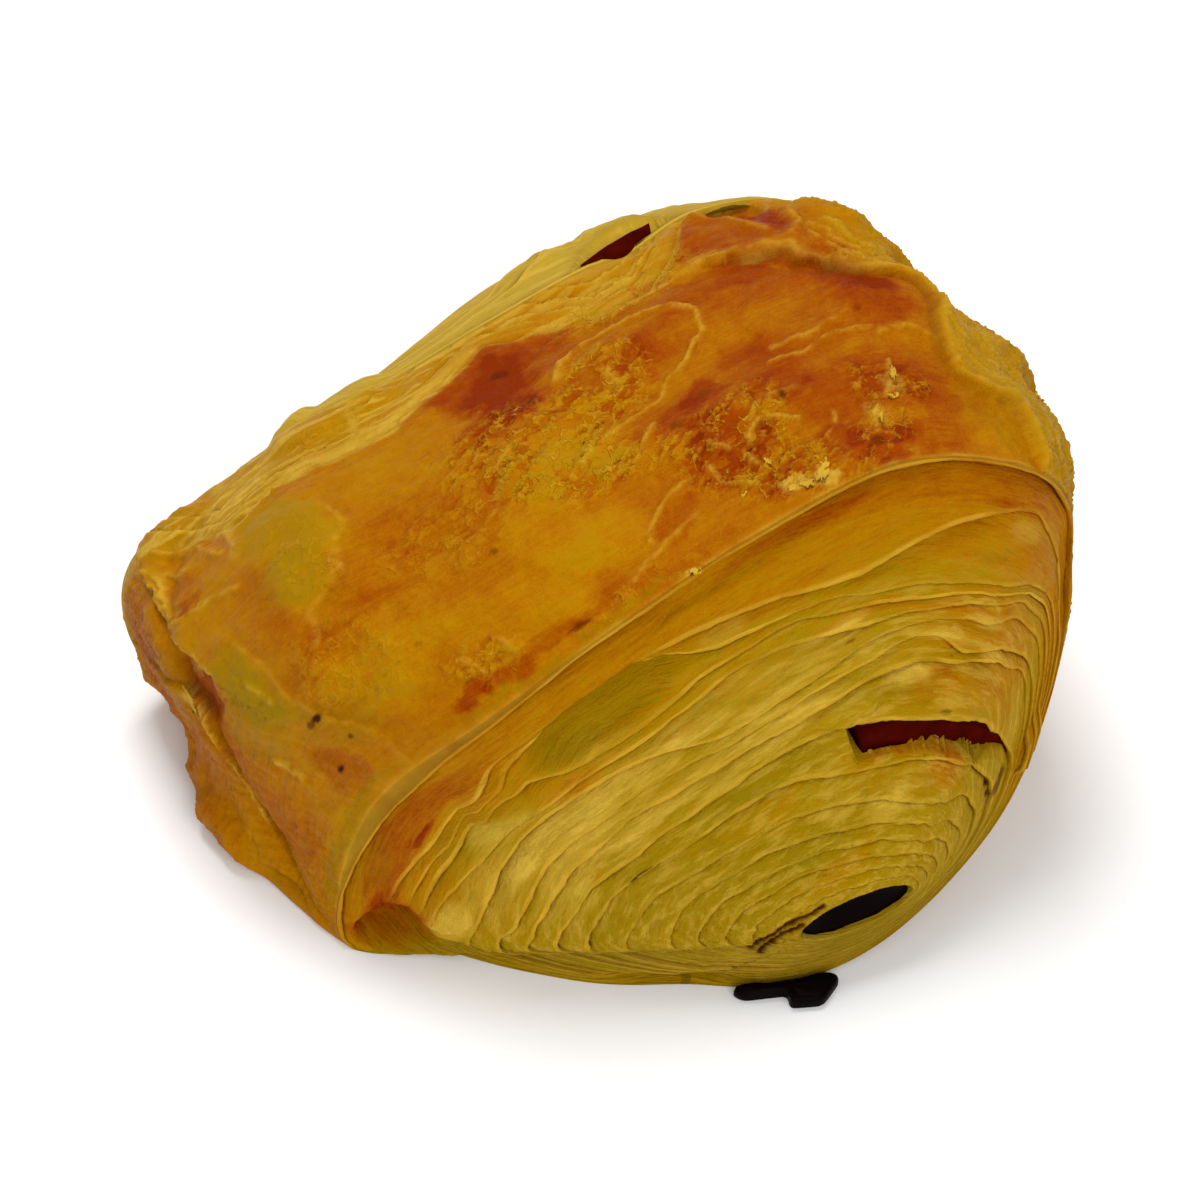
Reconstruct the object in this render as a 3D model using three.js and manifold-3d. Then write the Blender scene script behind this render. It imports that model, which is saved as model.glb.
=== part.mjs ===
// A pain au chocolat: puff dough rolled round two chocolate batons, lying on its seam.
// Millimetres, +Z up. X runs across the roll and Y along the batons.
// The end with the wide sloping steps faces -Y, the end with the narrow steps faces +Y.
import * as THREE from 'three';
import { mergeVertices } from 'three/addons/utils/BufferGeometryUtils.js';
import Module from 'manifold-3d';

const wasm = await Module();
wasm.setup();

// ---- driving dimensions ----

// Stations round the roll: from the base up the left end, over the top and down the right end.
// near and far are points of the two crust edges, mid is the crust half-way between them (x and z).
const STATIONS = [
  { near: [-8, -38.8, 0], mid: [-6, 0], far: [-6, 38, 0] },
  { near: [-28, -25.2, 0], mid: [-31, 0], far: [-30.5, 32, 0] },
  { near: [-39.2, -18.2, 0], mid: [-46.5, 0.5], far: [-44.5, 28, 2] },
  { near: [-39.5, -15.5, 7], mid: [-46.2, 11], far: [-49, 29.3, 11] },
  { near: [-34, -16, 21], mid: [-45, 25], far: [-46, 31.8, 20.2] },
  { near: [-23, -21, 34], mid: [-32, 38], far: [-31.5, 30.5, 30.5] },
  { near: [-7, -22, 44], mid: [-13, 45], far: [-15, 26.8, 40] },
  { near: [9, -20.5, 49], mid: [7, 49.5], far: [5.5, 28.8, 45.2] },
  { near: [26, -20, 52], mid: [26, 52.5], far: [25, 32.2, 47] },
  { near: [40, -23, 48], mid: [42, 49.7], far: [38.8, 29.2, 46] },
  { near: [46.6, -23.3, 36.5], mid: [52.8, 37], far: [48.3, 22, 37] },
  { near: [41.8, -30, 20], mid: [49.8, 17], far: [46.8, 22, 17] },
  { near: [31.2, -36.8, 7], mid: [37, 3], far: [33.5, 30, 3] },
  { near: [11.5, -42.8, 1], mid: [14, 0], far: [14, 38, 0] },
];

// The roll tightens round the lower baton, which shows in the eye of each end.
const EYE_NEAR = [11.8, -41.8, 7.5];
const EYE_FAR = [14, 46, 16];
const EYE_HALF_WIDTH = 6.9;
const EYE_HALF_HEIGHT = 2.9;
const EYE_TILT = THREE.MathUtils.degToRad(4);

// The torn edge of each layer of the near end, from the crust edge inward, as [turn, reach] in per cent:
// turn goes round the roll, and reach from the eye at 0 to the crust edge at 100.
const NEAR_LIPS = [
  [[8, 100], [21, 100], [27, 97.5], [33, 98.5], [40, 100], [66, 100], [72, 98.5], [80, 100]],
  [[6, 95], [18, 93], [27, 86.5], [34, 91], [40, 92], [44, 90], [51, 82], [55, 80.5], [61, 88.5], [70, 90],
    [78, 95]],
  [[6, 91], [16, 88], [24, 82.6], [32, 83.5], [36, 77.5], [42, 77], [50, 77], [56, 71], [65, 73], [70, 79],
    [76, 90]],
  [[6, 82], [15, 80], [22, 79], [27, 73.5], [41, 73.5], [46, 74], [55, 67.5], [65, 70], [70, 75.5], [76, 85]],
  [[6, 76], [15, 74], [20, 70], [36, 71], [40, 67], [45, 60.5], [50, 60.5], [55, 64], [65, 66.5], [70, 71.5],
    [76, 81]],
  [[6, 70], [15, 68], [20, 64], [32, 63], [43, 58.5], [50, 57.5], [58, 60.5], [63, 58], [70, 63.5], [76, 77]],
  [[6, 63], [15, 61], [25, 56.5], [35, 57], [43, 55], [50, 53], [60, 55], [65, 54.5], [70, 60], [76, 73]],
  [[6, 55], [15, 55], [25, 50], [30, 48], [45, 48.7], [52.5, 46.5], [58, 42.5], [65, 43], [73, 49.5],
    [79, 69]],
  [[6, 46], [15, 48], [30, 43], [40, 42], [48, 39], [53, 34.5], [62, 33], [70, 34.5], [76, 45], [82, 64]],
  [[6, 38], [15, 40], [30, 35.5], [45, 31.5], [55, 25], [65, 22.5], [70, 24], [76, 36], [82, 50]],
  [[6, 29], [20, 30], [40, 27], [50, 21.5], [60, 17], [70, 18], [76, 27], [82, 40]],
  [[6, 20], [20, 21], [40, 19], [50, 14.5], [60, 11], [70, 12], [76, 17], [82, 25]],
  [[6, 8], [20, 9], [40, 8], [50, 6], [60, 5], [76, 7], [82, 10]],
];

// The same for the far end.
const FAR_LIPS = [
  [[10, 100], [60, 100]],
  [[10, 91], [30, 90.5], [45, 91.5], [60, 91]],
  [[10, 81], [30, 80], [45, 81], [60, 80]],
  [[6, 70], [30, 70], [51, 66], [58, 70], [69, 65], [76, 66]],
  [[6, 57], [30, 57], [53, 51], [58, 56], [69, 53], [76, 55]],
  [[10, 43], [30, 42], [50, 38], [75, 39]],
  [[10, 22], [30, 21], [50, 19], [75, 20]],
];
const LIP_THICKNESS = 1.0;
const UNDERCUT = 1.7;
const LIP_WANDER = 0.7;
const NEAR_SLOPE = 1.15;
const FAR_SHELF_RIGHT = 4.0;
const FAR_SHELF_LEFT = 1.8;

// Dents of the near end: the open corner at the lower left, and a lens between two layers.
const NEAR_DENTS = [
  { turn: 0.17, reach: 0.88, halfTurn: 0.045, halfReach: 0.095, depth: 4.5 },
  { turn: 0.392, reach: 0.835, halfTurn: 0.05, halfReach: 0.08, depth: 2.4 },
];

// Where the browned film of the crust ends, as [turn, side] in per cent, and the sheets that show beyond it.
const FILM_END = [[20, 95], [27, 80], [30, 60], [34, 49], [37, 61], [42, 55], [45, 66], [46.4, 83], [50, 64],
  [53.5, 46], [57.5, 53], [60, 30], [63, 15], [68, 60], [72, 95]];
const FILM_STEP = 0.8;
const BAND_SHEETS = 3;

const CRUST_WAVE = 0.6;
const BLISTER_HEIGHT = 0.9;
const CREASE_DEPTH = 1.4;
const CREASE_TURN = 0.243;
const CREASE_SLANT = 0.09;
const ROLL_AXIS = [2, 20];

// The upper baton has melted into a curved strip between two layers.
// Middle line of its section at both ends: x, y, z and thickness, following the slant of the end.
const UPPER_NEAR_LINE = [
  [15.0, -34.0, 26.7, 3.0], [20.0, -34.0, 27.5, 2.9], [25.5, -34.6, 25.3, 2.7],
  [31.0, -33.9, 20.9, 2.3], [35.4, -33.3, 15.1, 1.8],
];
const UPPER_FAR_LINE = [
  [10.5, 31.2, 43.0, 1.9], [14.5, 33.1, 43.2, 2.2], [18.5, 35.6, 42.6, 2.2],
  [22.5, 38.0, 41.3, 1.9], [26.5, 39.8, 39.5, 1.5],
];
const UPPER_ARCH = 2.0;
const TUNNEL_OVERRUN = 0.06;

const LOWER_NEAR_Y = -41.2;
const LOWER_FAR_Y = 45.2;

// A drop of chocolate that has run out under the near end and set flat.
const FOOT_OUTLINE = [[-3.4, -41.3], [-2.6, -42.5], [2.4, -43.9], [1.8, -45.6], [5.4, -46.8], [8.6, -44.6]];
const FOOT_BACK = [[7.8, -43.6], [2.0, -42.7], [-2.4, -41.2]];
const FOOT_HEIGHT = 1.8;

const GAP = 0.3;
const COLUMNS = 64;
const CRUST_ROWS = 8;
const TUNNEL_ROWS = 2;

// The middle of the footprint box, which becomes the origin.
const FOOTPRINT_MIDDLE = [1.91, -0.07];

// ---- the closed curves round the roll ----

const stationRow = ({ near, mid, far }) => [...near, ...mid, ...far];
const ROWS_OF_STATIONS = STATIONS.map(stationRow);

// A smooth closed curve through all stations: turn runs from 0 to 1 round the roll.
function stationAt(turn) {
  const count = ROWS_OF_STATIONS.length;
  const place = THREE.MathUtils.euclideanModulo(turn, 1) * count;
  const first = Math.floor(place);
  const f = place - first;
  const pick = (offset) => ROWS_OF_STATIONS[(first + offset + count) % count];
  const [a, b, c, d] = [pick(-1), pick(0), pick(1), pick(2)];
  const curve = (i) => 0.5 * (2 * b[i] + (c[i] - a[i]) * f
    + (2 * a[i] - 5 * b[i] + 4 * c[i] - d[i]) * f * f
    + (3 * b[i] - a[i] - 3 * c[i] + d[i]) * f * f * f);
  const values = b.map((_, i) => curve(i));
  return { near: values.slice(0, 3), mid: values.slice(3, 5), far: values.slice(5, 8) };
}

const onFloor = (point) => new THREE.Vector3(point.x, point.y, Math.max(point.z, 0));

// side runs from -1 at the near edge of the crust to 1 at its far edge.
function crustPoint(turn, side) {
  const { near, mid, far } = stationAt(turn);
  const middle = [mid[0], (near[1] + far[1]) / 2, mid[1]];
  const along = (i) => middle[i]
    + (far[i] - near[i]) / 2 * side
    + ((near[i] + far[i]) / 2 - middle[i]) * side * side;
  return onFloor(new THREE.Vector3(along(0), along(1), along(2)));
}

function eyePoint(turn, end, inset = 0) {
  const eye = end === 'near' ? EYE_NEAR : EYE_FAR;
  const edge = stationAt(turn)[end];
  const angle = Math.atan2(edge[2] - eye[2], edge[0] - eye[0]) - EYE_TILT;
  const across = (EYE_HALF_WIDTH - inset) * Math.cos(angle);
  const up = (EYE_HALF_HEIGHT - inset) * Math.sin(angle);
  const x = eye[0] + across * Math.cos(EYE_TILT) - up * Math.sin(EYE_TILT);
  const z = eye[2] + across * Math.sin(EYE_TILT) + up * Math.cos(EYE_TILT);
  return new THREE.Vector3(x, eye[1], z);
}

const wave = (turn, cycles, phase) => Math.sin(2 * Math.PI * (cycles * turn + phase));

// The value at a turn of a closed line of [turn, value] knots in per cent.
function alongKnots(knots, turn) {
  const place = THREE.MathUtils.euclideanModulo(turn * 100 - knots[0][0], 100) + knots[0][0];
  const closed = [...knots, [knots[0][0] + 100, knots[0][1]]];
  const next = closed.findIndex(([at]) => at > place);
  const [[startTurn, start], [endTurn, end]] = [closed[next - 1], closed[next]];
  return THREE.MathUtils.lerp(start, end, (place - startTurn) / (endTurn - startTurn)) / 100;
}

function dent(turn, reach) {
  const depths = NEAR_DENTS.map((place) => {
    const away = Math.hypot((turn - place.turn) / place.halfTurn, (reach - place.reach) / place.halfReach);
    return place.depth * (1 - THREE.MathUtils.smoothstep(away, 0.4, 1.1));
  });
  return depths.reduce((sum, depth) => sum + depth, 0);
}

// reach runs from 0 at the eye to 1 at the crust edge, over the end face.
function facePoint(turn, reach, end) {
  const edge = crustPoint(turn, end === 'near' ? -1 : 1);
  const eye = eyePoint(turn, end);
  const point = eye.clone().lerp(edge, reach);
  const leftness = THREE.MathUtils.clamp((5 - edge.x) / 30, 0, 1);
  const shelf = THREE.MathUtils.lerp(FAR_SHELF_RIGHT, FAR_SHELF_LEFT, leftness);
  const bulge = end === 'near' ? NEAR_SLOPE : shelf;
  point.y = eye.y + (edge.y - eye.y) * reach ** bulge + (end === 'near' ? dent(turn, reach) : 0);
  return onFloor(point);
}

// ---- the layers of the end faces ----

const LIPS = { near: NEAR_LIPS, far: FAR_LIPS };
const lipReach = (turn, index, end) => alongKnots(LIPS[end][index], turn);

// One layer gives three rows: the groove under it, and the inner and outer edge of its lip.
function layerRows(index, end) {
  const outward = end === 'near' ? -1 : 1;
  const shape = (turn) => {
    const edge = crustPoint(turn, outward);
    const depth = Math.hypot(edge.x - eyePoint(turn, end).x, edge.z - eyePoint(turn, end).z);
    const lip = lipReach(turn, index, end);
    const next = index + 1 < LIPS[end].length ? lipReach(turn, index + 1, end) : 0;
    const thickness = Math.min(LIP_THICKNESS / depth, 0.4 * (lip - next));
    return { depth, lip, next, thickness };
  };
  const calm = (turn) => THREE.MathUtils.smoothstep(turn, 0.2, 0.3);
  const shift = (turn) => outward * LIP_WANDER * calm(turn) * wave(turn, 7 + (index % 3), 0.37 * index);
  const room = (depth) => THREE.MathUtils.clamp(depth / 30, 0.12, 1);
  const outer = (turn) => {
    const { depth, lip } = shape(turn);
    const point = facePoint(turn, lip, end);
    point.y += index === 0 ? 0 : shift(turn) * room(depth);
    return point;
  };
  const inner = (turn) => {
    const { depth, lip, thickness } = shape(turn);
    const point = facePoint(turn, lip - thickness, end);
    point.y = outer(turn).y - outward * 0.25 * room(depth);
    return point;
  };
  const groove = (turn) => {
    const { depth, lip, next, thickness } = shape(turn);
    const point = facePoint(turn, lip - thickness - 0.12 * (lip - next), end);
    point.y = outer(turn).y - outward * UNDERCUT * room(depth);
    return point;
  };
  return [groove, inner, outer];
}

function faceRows(end) {
  const rows = [];
  for (let index = LIPS[end].length - 1; index >= 0; index -= 1) {
    rows.push(...layerRows(index, end));
  }
  return rows;
}

// ---- the crust ----

// One row over the crust: sideAt gives its side at a turn, and sheet how far its sheet stands proud there.
function crustRow(sideAt, sheet = 0) {
  return (turn) => {
    const side = sideAt(turn);
    const point = crustPoint(turn, side);
    const away = new THREE.Vector3(point.x - ROLL_AXIS[0], 0, point.z - ROLL_AXIS[1]).normalize();
    const clearOfBase = THREE.MathUtils.smoothstep(point.z, 4, 12);
    const clearOfEdge = 1 - side ** 4;
    const waves = wave(turn, 5, 0.2 * side) + 0.6 * wave(turn, 11, 0.5 - 0.3 * side);
    const crease = Math.exp(-(((turn - CREASE_TURN - CREASE_SLANT * side) / 0.012) ** 2));
    const onTop = THREE.MathUtils.smoothstep(turn, 0.4, 0.5);
    const blisters = onTop * wave(turn, 4, 0.17) * wave(side, 1.4, -0.24);
    const relief = CRUST_WAVE * waves + BLISTER_HEIGHT * blisters - CREASE_DEPTH * crease;
    const pastBand = THREE.MathUtils.smoothstep(turn, 0.58, 0.63);
    const onBand = THREE.MathUtils.smoothstep(turn, 0.22, 0.28) - pastBand;
    return onFloor(point.addScaledVector(away, (relief * clearOfEdge + sheet * onBand) * clearOfBase));
  };
}

function crustRows() {
  const filmEnd = (turn) => alongKnots(FILM_END, turn);
  const rows = [];
  for (let row = 1; row <= CRUST_ROWS; row += 1) {
    rows.push(crustRow((turn) => THREE.MathUtils.lerp(-1, filmEnd(turn), row / CRUST_ROWS)));
  }
  for (let sheet = 0; sheet < BAND_SHEETS; sheet += 1) {
    const onward = (share) => (turn) => THREE.MathUtils.lerp(filmEnd(turn), 1, (sheet + share) / BAND_SHEETS);
    rows.push(crustRow(onward(0.12), -FILM_STEP));
    rows.push(crustRow(onward(0.96), 0));
  }
  return rows;
}

// ---- the tunnel of the lower baton ----

const tunnelRow = (share, inset) => (turn) => {
  const nearRim = eyePoint(turn, 'near', inset);
  return nearRim.lerp(eyePoint(turn, 'far', inset), share);
};

function tunnelRows() {
  const rows = [];
  for (let row = TUNNEL_ROWS; row >= 1; row -= 1) {
    rows.push(tunnelRow(row / (TUNNEL_ROWS + 1), 0));
  }
  return rows;
}

// ---- grids and solids ----

// A closed grid: every row runs round the roll. It joins its last row to its first, or ends in two flat caps.
function gridGeometry(rows, columns, capped) {
  const positions = [];
  for (const row of rows) {
    for (let column = 0; column < columns; column += 1) {
      positions.push(...row(column / columns).toArray());
    }
  }
  const index = [];
  const bands = capped ? rows.length - 1 : rows.length;
  for (let band = 0; band < bands; band += 1) {
    const lower = band * columns;
    const upper = ((band + 1) % rows.length) * columns;
    for (let column = 0; column < columns; column += 1) {
      const next = (column + 1) % columns;
      index.push(lower + column, lower + next, upper + next);
      index.push(lower + column, upper + next, upper + column);
    }
  }
  if (capped) {
    const last = (rows.length - 1) * columns;
    for (let column = 1; column < columns - 1; column += 1) {
      index.push(0, column + 1, column);
      index.push(last, last + column, last + column + 1);
    }
  }
  const geometry = new THREE.BufferGeometry();
  geometry.setAttribute('position', new THREE.Float32BufferAttribute(positions, 3));
  geometry.setIndex(index);
  return geometry;
}

function toSolid(geometry) {
  const merged = mergeVertices(geometry, 1e-4);
  return new wasm.Manifold(new wasm.Mesh({
    numProp: 3,
    vertProperties: merged.getAttribute('position').array,
    triVerts: new Uint32Array(merged.index.array),
  }));
}

function toGeometry(solid) {
  const mesh = solid.getMesh();
  const geometry = new THREE.BufferGeometry();
  geometry.setAttribute('position', new THREE.Float32BufferAttribute(mesh.vertProperties, 3));
  geometry.setIndex(Array.from(mesh.triVerts));
  geometry.computeVertexNormals();
  return geometry;
}

// ---- chocolate ----

// The section of the upper baton as a closed loop: along its upper side and back along its lower side.
function upperSection(line, grow) {
  const middle = new THREE.CatmullRomCurve3(line.map(([x, y, z]) => new THREE.Vector3(x, y, z)));
  const samples = 8;
  const upperSide = [];
  const lowerSide = [];
  for (let step = 0; step <= samples; step += 1) {
    const share = step / samples;
    const place = share * (line.length - 1);
    const first = Math.min(Math.floor(place), line.length - 2);
    const half = THREE.MathUtils.lerp(line[first][3], line[first + 1][3], place - first) / 2 + grow;
    const tangent = middle.getTangent(share).setY(0).normalize();
    const across = new THREE.Vector3(-tangent.z, 0, tangent.x);
    const endGrow = tangent.clone().multiplyScalar(grow * (2 * share - 1));
    const point = middle.getPoint(share).add(endGrow);
    upperSide.push(point.clone().addScaledVector(across, half));
    lowerSide.push(point.clone().addScaledVector(across, -half));
  }
  return [...upperSide, ...lowerSide.reverse()];
}

// overrun lengthens it past both ends, as a share of its length, for the tunnel that it lies in.
function upperBaton(grow, overrun) {
  const nearLoop = upperSection(UPPER_NEAR_LINE, grow);
  const farLoop = upperSection(UPPER_FAR_LINE, grow);
  const lengthSteps = 6;
  const shares = Array.from({ length: lengthSteps + 1 }, (_, step) => step / lengthSteps);
  if (overrun > 0) {
    shares.unshift(-overrun);
    shares.push(1 + overrun);
  }
  const rows = shares.map((share) => (turn) => {
    const corner = Math.round(turn * nearLoop.length);
    const point = nearLoop[corner].clone().lerp(farLoop[corner], share);
    point.z += UPPER_ARCH * 4 * Math.max(share * (1 - share), 0);
    return point;
  });
  return gridGeometry(rows, nearLoop.length, true);
}

function lowerBaton() {
  const share = (y) => (y - EYE_NEAR[1]) / (EYE_FAR[1] - EYE_NEAR[1]);
  const rows = [tunnelRow(share(LOWER_NEAR_Y), GAP), tunnelRow(share(LOWER_FAR_Y), GAP)];
  return gridGeometry(rows, COLUMNS / 2, true);
}

function chocolateFoot() {
  const outline = new THREE.Shape([...FOOT_OUTLINE, ...FOOT_BACK].map(([x, y]) => new THREE.Vector2(x, y)));
  return new THREE.ExtrudeGeometry(outline, { depth: FOOT_HEIGHT, bevelEnabled: false });
}

// ---- the pastry ----

function pastryGeometry() {
  const rows = [...faceRows('near'), ...crustRows(), ...faceRows('far').reverse(), ...tunnelRows()];
  const roll = toSolid(gridGeometry(rows, COLUMNS, false));
  return toGeometry(roll.subtract(toSolid(upperBaton(GAP, TUNNEL_OVERRUN))));
}

const bakedDough = new THREE.MeshStandardMaterial({ color: 0xb4700c, roughness: 0.55, metalness: 0 });
const darkChocolate = new THREE.MeshStandardMaterial({ color: 0x3a0d05, roughness: 0.35, metalness: 0 });

function addPiece(group, name, geometry, material) {
  const mesh = new THREE.Mesh(geometry, material);
  mesh.name = name;
  group.add(mesh);
}

const painAuChocolat = new THREE.Group();
painAuChocolat.position.set(-FOOTPRINT_MIDDLE[0], -FOOTPRINT_MIDDLE[1], 0);
addPiece(painAuChocolat, 'pastry', pastryGeometry(), bakedDough);
addPiece(painAuChocolat, 'chocolate_upper', upperBaton(0, 0), darkChocolate);
addPiece(painAuChocolat, 'chocolate_lower', lowerBaton(), darkChocolate);
addPiece(painAuChocolat, 'chocolate_foot', chocolateFoot(), darkChocolate);

export default painAuChocolat;
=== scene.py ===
# %% [markdown]
# A pain au chocolat is a strip of laminated dough rolled round two chocolate batons and baked on
# its seam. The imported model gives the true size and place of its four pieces. This lesson dresses
# them: a fine mesh of the roll with every layer that shows, the melted chocolate, loose flakes,
# and the colours that egg wash and an oven give.

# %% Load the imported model
import math
import bpy
import numpy as np
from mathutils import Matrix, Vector


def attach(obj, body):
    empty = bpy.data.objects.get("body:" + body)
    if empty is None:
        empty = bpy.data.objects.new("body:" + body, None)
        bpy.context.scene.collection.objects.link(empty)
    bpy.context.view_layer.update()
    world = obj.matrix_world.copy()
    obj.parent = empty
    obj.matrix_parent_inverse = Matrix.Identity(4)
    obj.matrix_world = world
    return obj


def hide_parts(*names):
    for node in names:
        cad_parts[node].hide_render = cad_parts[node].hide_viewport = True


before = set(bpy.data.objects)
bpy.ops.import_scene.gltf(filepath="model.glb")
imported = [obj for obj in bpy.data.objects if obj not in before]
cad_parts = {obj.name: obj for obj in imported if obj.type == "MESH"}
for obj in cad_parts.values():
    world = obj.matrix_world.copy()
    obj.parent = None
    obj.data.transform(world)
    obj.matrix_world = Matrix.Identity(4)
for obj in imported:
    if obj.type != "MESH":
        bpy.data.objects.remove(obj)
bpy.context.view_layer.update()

MM = 0.001
print("solids:", sorted(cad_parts))

# %% [markdown]
# The roll is not a cylinder: it is low on the left, tall on the right, and its near end is cut on
# a slant. The same fourteen stations that shape the solid shape the fine mesh, so both agree.
# Each station has a point on the near crust edge (x, y, z), the crust's middle (x, z) and a point
# on the far crust edge (x, y, z), in millimetres. A turn of 0 to 1 leads once round the roll: from
# the middle of the base to the left end, over the top, and down the right end.

# %% The stations round the roll
STATIONS = np.array([
    (-8, -38.8, 0, -6, 0, -6, 38, 0), (-28, -25.2, 0, -31, 0, -30.5, 32, 0),
    (-39.2, -18.2, 0, -46.5, 0.5, -44.5, 28, 2), (-39.5, -15.5, 7, -46.2, 11, -49, 29.3, 11),
    (-34, -16, 21, -45, 25, -46, 31.8, 20.2), (-23, -21, 34, -32, 38, -31.5, 30.5, 30.5),
    (-7, -22, 44, -13, 45, -15, 26.8, 40), (9, -20.5, 49, 7, 49.5, 5.5, 28.8, 45.2),
    (26, -20, 52, 26, 52.5, 25, 32.2, 47), (40, -23, 48, 42, 49.7, 38.8, 29.2, 46),
    (46.6, -23.3, 36.5, 52.8, 37, 48.3, 22, 37), (41.8, -30, 20, 49.8, 17, 46.8, 22, 17),
    (31.2, -36.8, 7, 37, 3, 33.5, 30, 3), (11.5, -42.8, 1, 14, 0, 14, 38, 0)], float)
FOOTPRINT_MIDDLE = (1.91, -0.07)


def smooth(value, low, high):
    """Climbs from 0 to 1 between low and high, without a corner."""
    share = np.clip((np.asarray(value, float) - low) / (high - low), 0, 1)
    return share * share * (3 - 2 * share)


def window(value, rise, fall):
    """1 between two soft edges: it climbs over the first pair of values and drops over the second."""
    return smooth(value, *rise) * (1 - smooth(value, *fall))


def station(turn):
    """The eight station numbers at a turn of 0 to 1 round the roll, on one smooth closed curve."""
    place = (np.asarray(turn, float) % 1.0) * len(STATIONS)
    first = np.floor(place).astype(int)
    f = (place - first)[..., None]
    a, b, c, d = (STATIONS[(first + k) % len(STATIONS)] for k in (-1, 0, 1, 2))
    return 0.5 * (2 * b + (c - a) * f + (2 * a - 5 * b + 4 * c - d) * f**2
                  + (3 * b - a - 3 * c + d) * f**3)


print("roll:", len(STATIONS), "stations,", round(np.ptp(STATIONS[:, 3]), 1), "mm across")

# %% [markdown]
# Across the roll the crust is a shallow arch through the near edge, the middle and the far edge.
# Two dents in its near rim follow the real one. An end face falls from the crust edge to the eye,
# the flat hollow that holds the lower baton: the near face almost straight, the far one as a
# shelf that drops late.

# %% Points of the crust and of the end faces
EYE = {"near": (11.8, -41.8, 7.5), "far": (14.0, 46.0, 16.0)}
EYE_HALF_WIDTH, EYE_HALF_HEIGHT, EYE_TILT = 6.9, 2.9, math.radians(4)
NEAR_SLOPE = 1.15
SHELF_RIGHT, SHELF_LEFT = 4.0, 1.8
SHELF_CHANGE_X, SHELF_CHANGE_WIDTH = 5, 30
REACH_LIMIT = 1.05
OUTWARD = {"near": -1, "far": 1}
RIM_DENTS = ((0.086, 0.020, 1.6), (0.000, 0.022, 1.5))


def crust_point(turn, side):
    """A point of the crust: side is -1 at the near edge and 1 at the far edge."""
    row = station(turn)
    near, far = row[..., 0:3], row[..., 5:8]
    for at_turn, width, depth in RIM_DENTS:
        away = (np.asarray(turn) - at_turn + 0.5) % 1.0 - 0.5
        near[..., 1] += depth * np.exp(-(away / width)**2)
    middle = np.stack([row[..., 3], (near[..., 1] + far[..., 1]) / 2, row[..., 4]], -1)
    side = np.asarray(side, float)[..., None]
    point = middle + (far - near) / 2 * side + ((near + far) / 2 - middle) * side**2
    point[..., 2] = np.maximum(point[..., 2], 0)
    return point


def eye_point(turn, end, grow=0.0):
    """A point on the oval rim of the eye; grow makes the oval larger by so many millimetres."""
    x, y, z = EYE[end]
    row = station(turn)
    edge_x, edge_z = (row[..., 0], row[..., 2]) if end == "near" else (row[..., 5], row[..., 7])
    angle = np.arctan2(edge_z - z, edge_x - x) - EYE_TILT
    across = (EYE_HALF_WIDTH + grow) * np.cos(angle)
    up = (EYE_HALF_HEIGHT + grow) * np.sin(angle)
    return np.stack([x + across * math.cos(EYE_TILT) - up * math.sin(EYE_TILT),
                     np.full_like(across, y),
                     z + across * math.sin(EYE_TILT) + up * math.cos(EYE_TILT)], -1)


def face_point(turn, reach, end, out=0.0):
    """A point of an end face: reach is 0 at the eye and 1 at the crust edge, out is mm proud."""
    edge = crust_point(turn, np.full_like(turn, OUTWARD[end]))
    eye = eye_point(turn, end)
    reach = np.clip(reach, 0, REACH_LIMIT)
    point = eye + (edge - eye) * reach[..., None]
    leftness = np.clip((SHELF_CHANGE_X - edge[..., 0]) / SHELF_CHANGE_WIDTH, 0, 1)
    bulge = NEAR_SLOPE if end == "near" else SHELF_RIGHT + (SHELF_LEFT - SHELF_RIGHT) * leftness
    point[..., 1] = eye[..., 1] + (edge[..., 1] - eye[..., 1]) * reach**bulge + OUTWARD[end] * out
    point[..., 2] = np.maximum(point[..., 2], 0)
    return point


print("eye:", 2 * EYE_HALF_WIDTH, "by", 2 * EYE_HALF_HEIGHT, "mm")

# %% [markdown]
# Baked dough has no two places alike, so every height and width below is disturbed by smooth
# random fields. A field is a lattice of seeded random numbers, blended smoothly, and it closes on
# itself round the roll. Adding finer fields at lower strength gives crumbly detail.

# %% Random fields that close round the roll
FIELD_STRENGTH = 1.6
CREST_SHARPNESS = 2.2


def field(turn, across, cells_round, cells_across, seed):
    """A smooth random number between -1 and 1 at every turn and place across."""
    lattice = np.random.default_rng(seed).uniform(-1, 1, (cells_round, cells_across + 2))
    a = (np.asarray(turn) % 1.0) * cells_round
    b = np.clip(across, 0, 1) * cells_across
    i, j = np.floor(a).astype(int) % cells_round, np.floor(b).astype(int)
    fa, fb = smooth(a - np.floor(a), 0, 1), smooth(b - j, 0, 1)
    after = (i + 1) % cells_round
    this_row = lattice[i, j] * (1 - fb) + lattice[i, j + 1] * fb
    next_row = lattice[after, j] * (1 - fb) + lattice[after, j + 1] * fb
    return this_row * (1 - fa) + next_row * fa


def rough_field(turn, across, cells_round, cells_across, seed, octaves=4, fade=0.55):
    """Fields of finer and finer cells, each weaker than the last by fade."""
    total, strength, scale = 0, 0, 1.0
    for octave in range(octaves):
        grow = 2**octave
        total = total + scale * field(turn, across, cells_round * grow, cells_across * grow, seed + octave)
        strength += scale
        scale *= fade
    return total / strength * FIELD_STRENGTH


def wobbles(turn, waves, seed):
    """Random lines round the roll, added up. Each wave has its cells, strength and seed shift."""
    return sum(strength * field(turn, 0, cells, 1, seed + shift) for cells, strength, shift in waves)


def crests(value):
    """Sharp crests where a field crosses zero: the wrinkles of a dried skin."""
    return 1 - 2 * np.minimum(np.abs(value) * CREST_SHARPNESS, 1)


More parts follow.
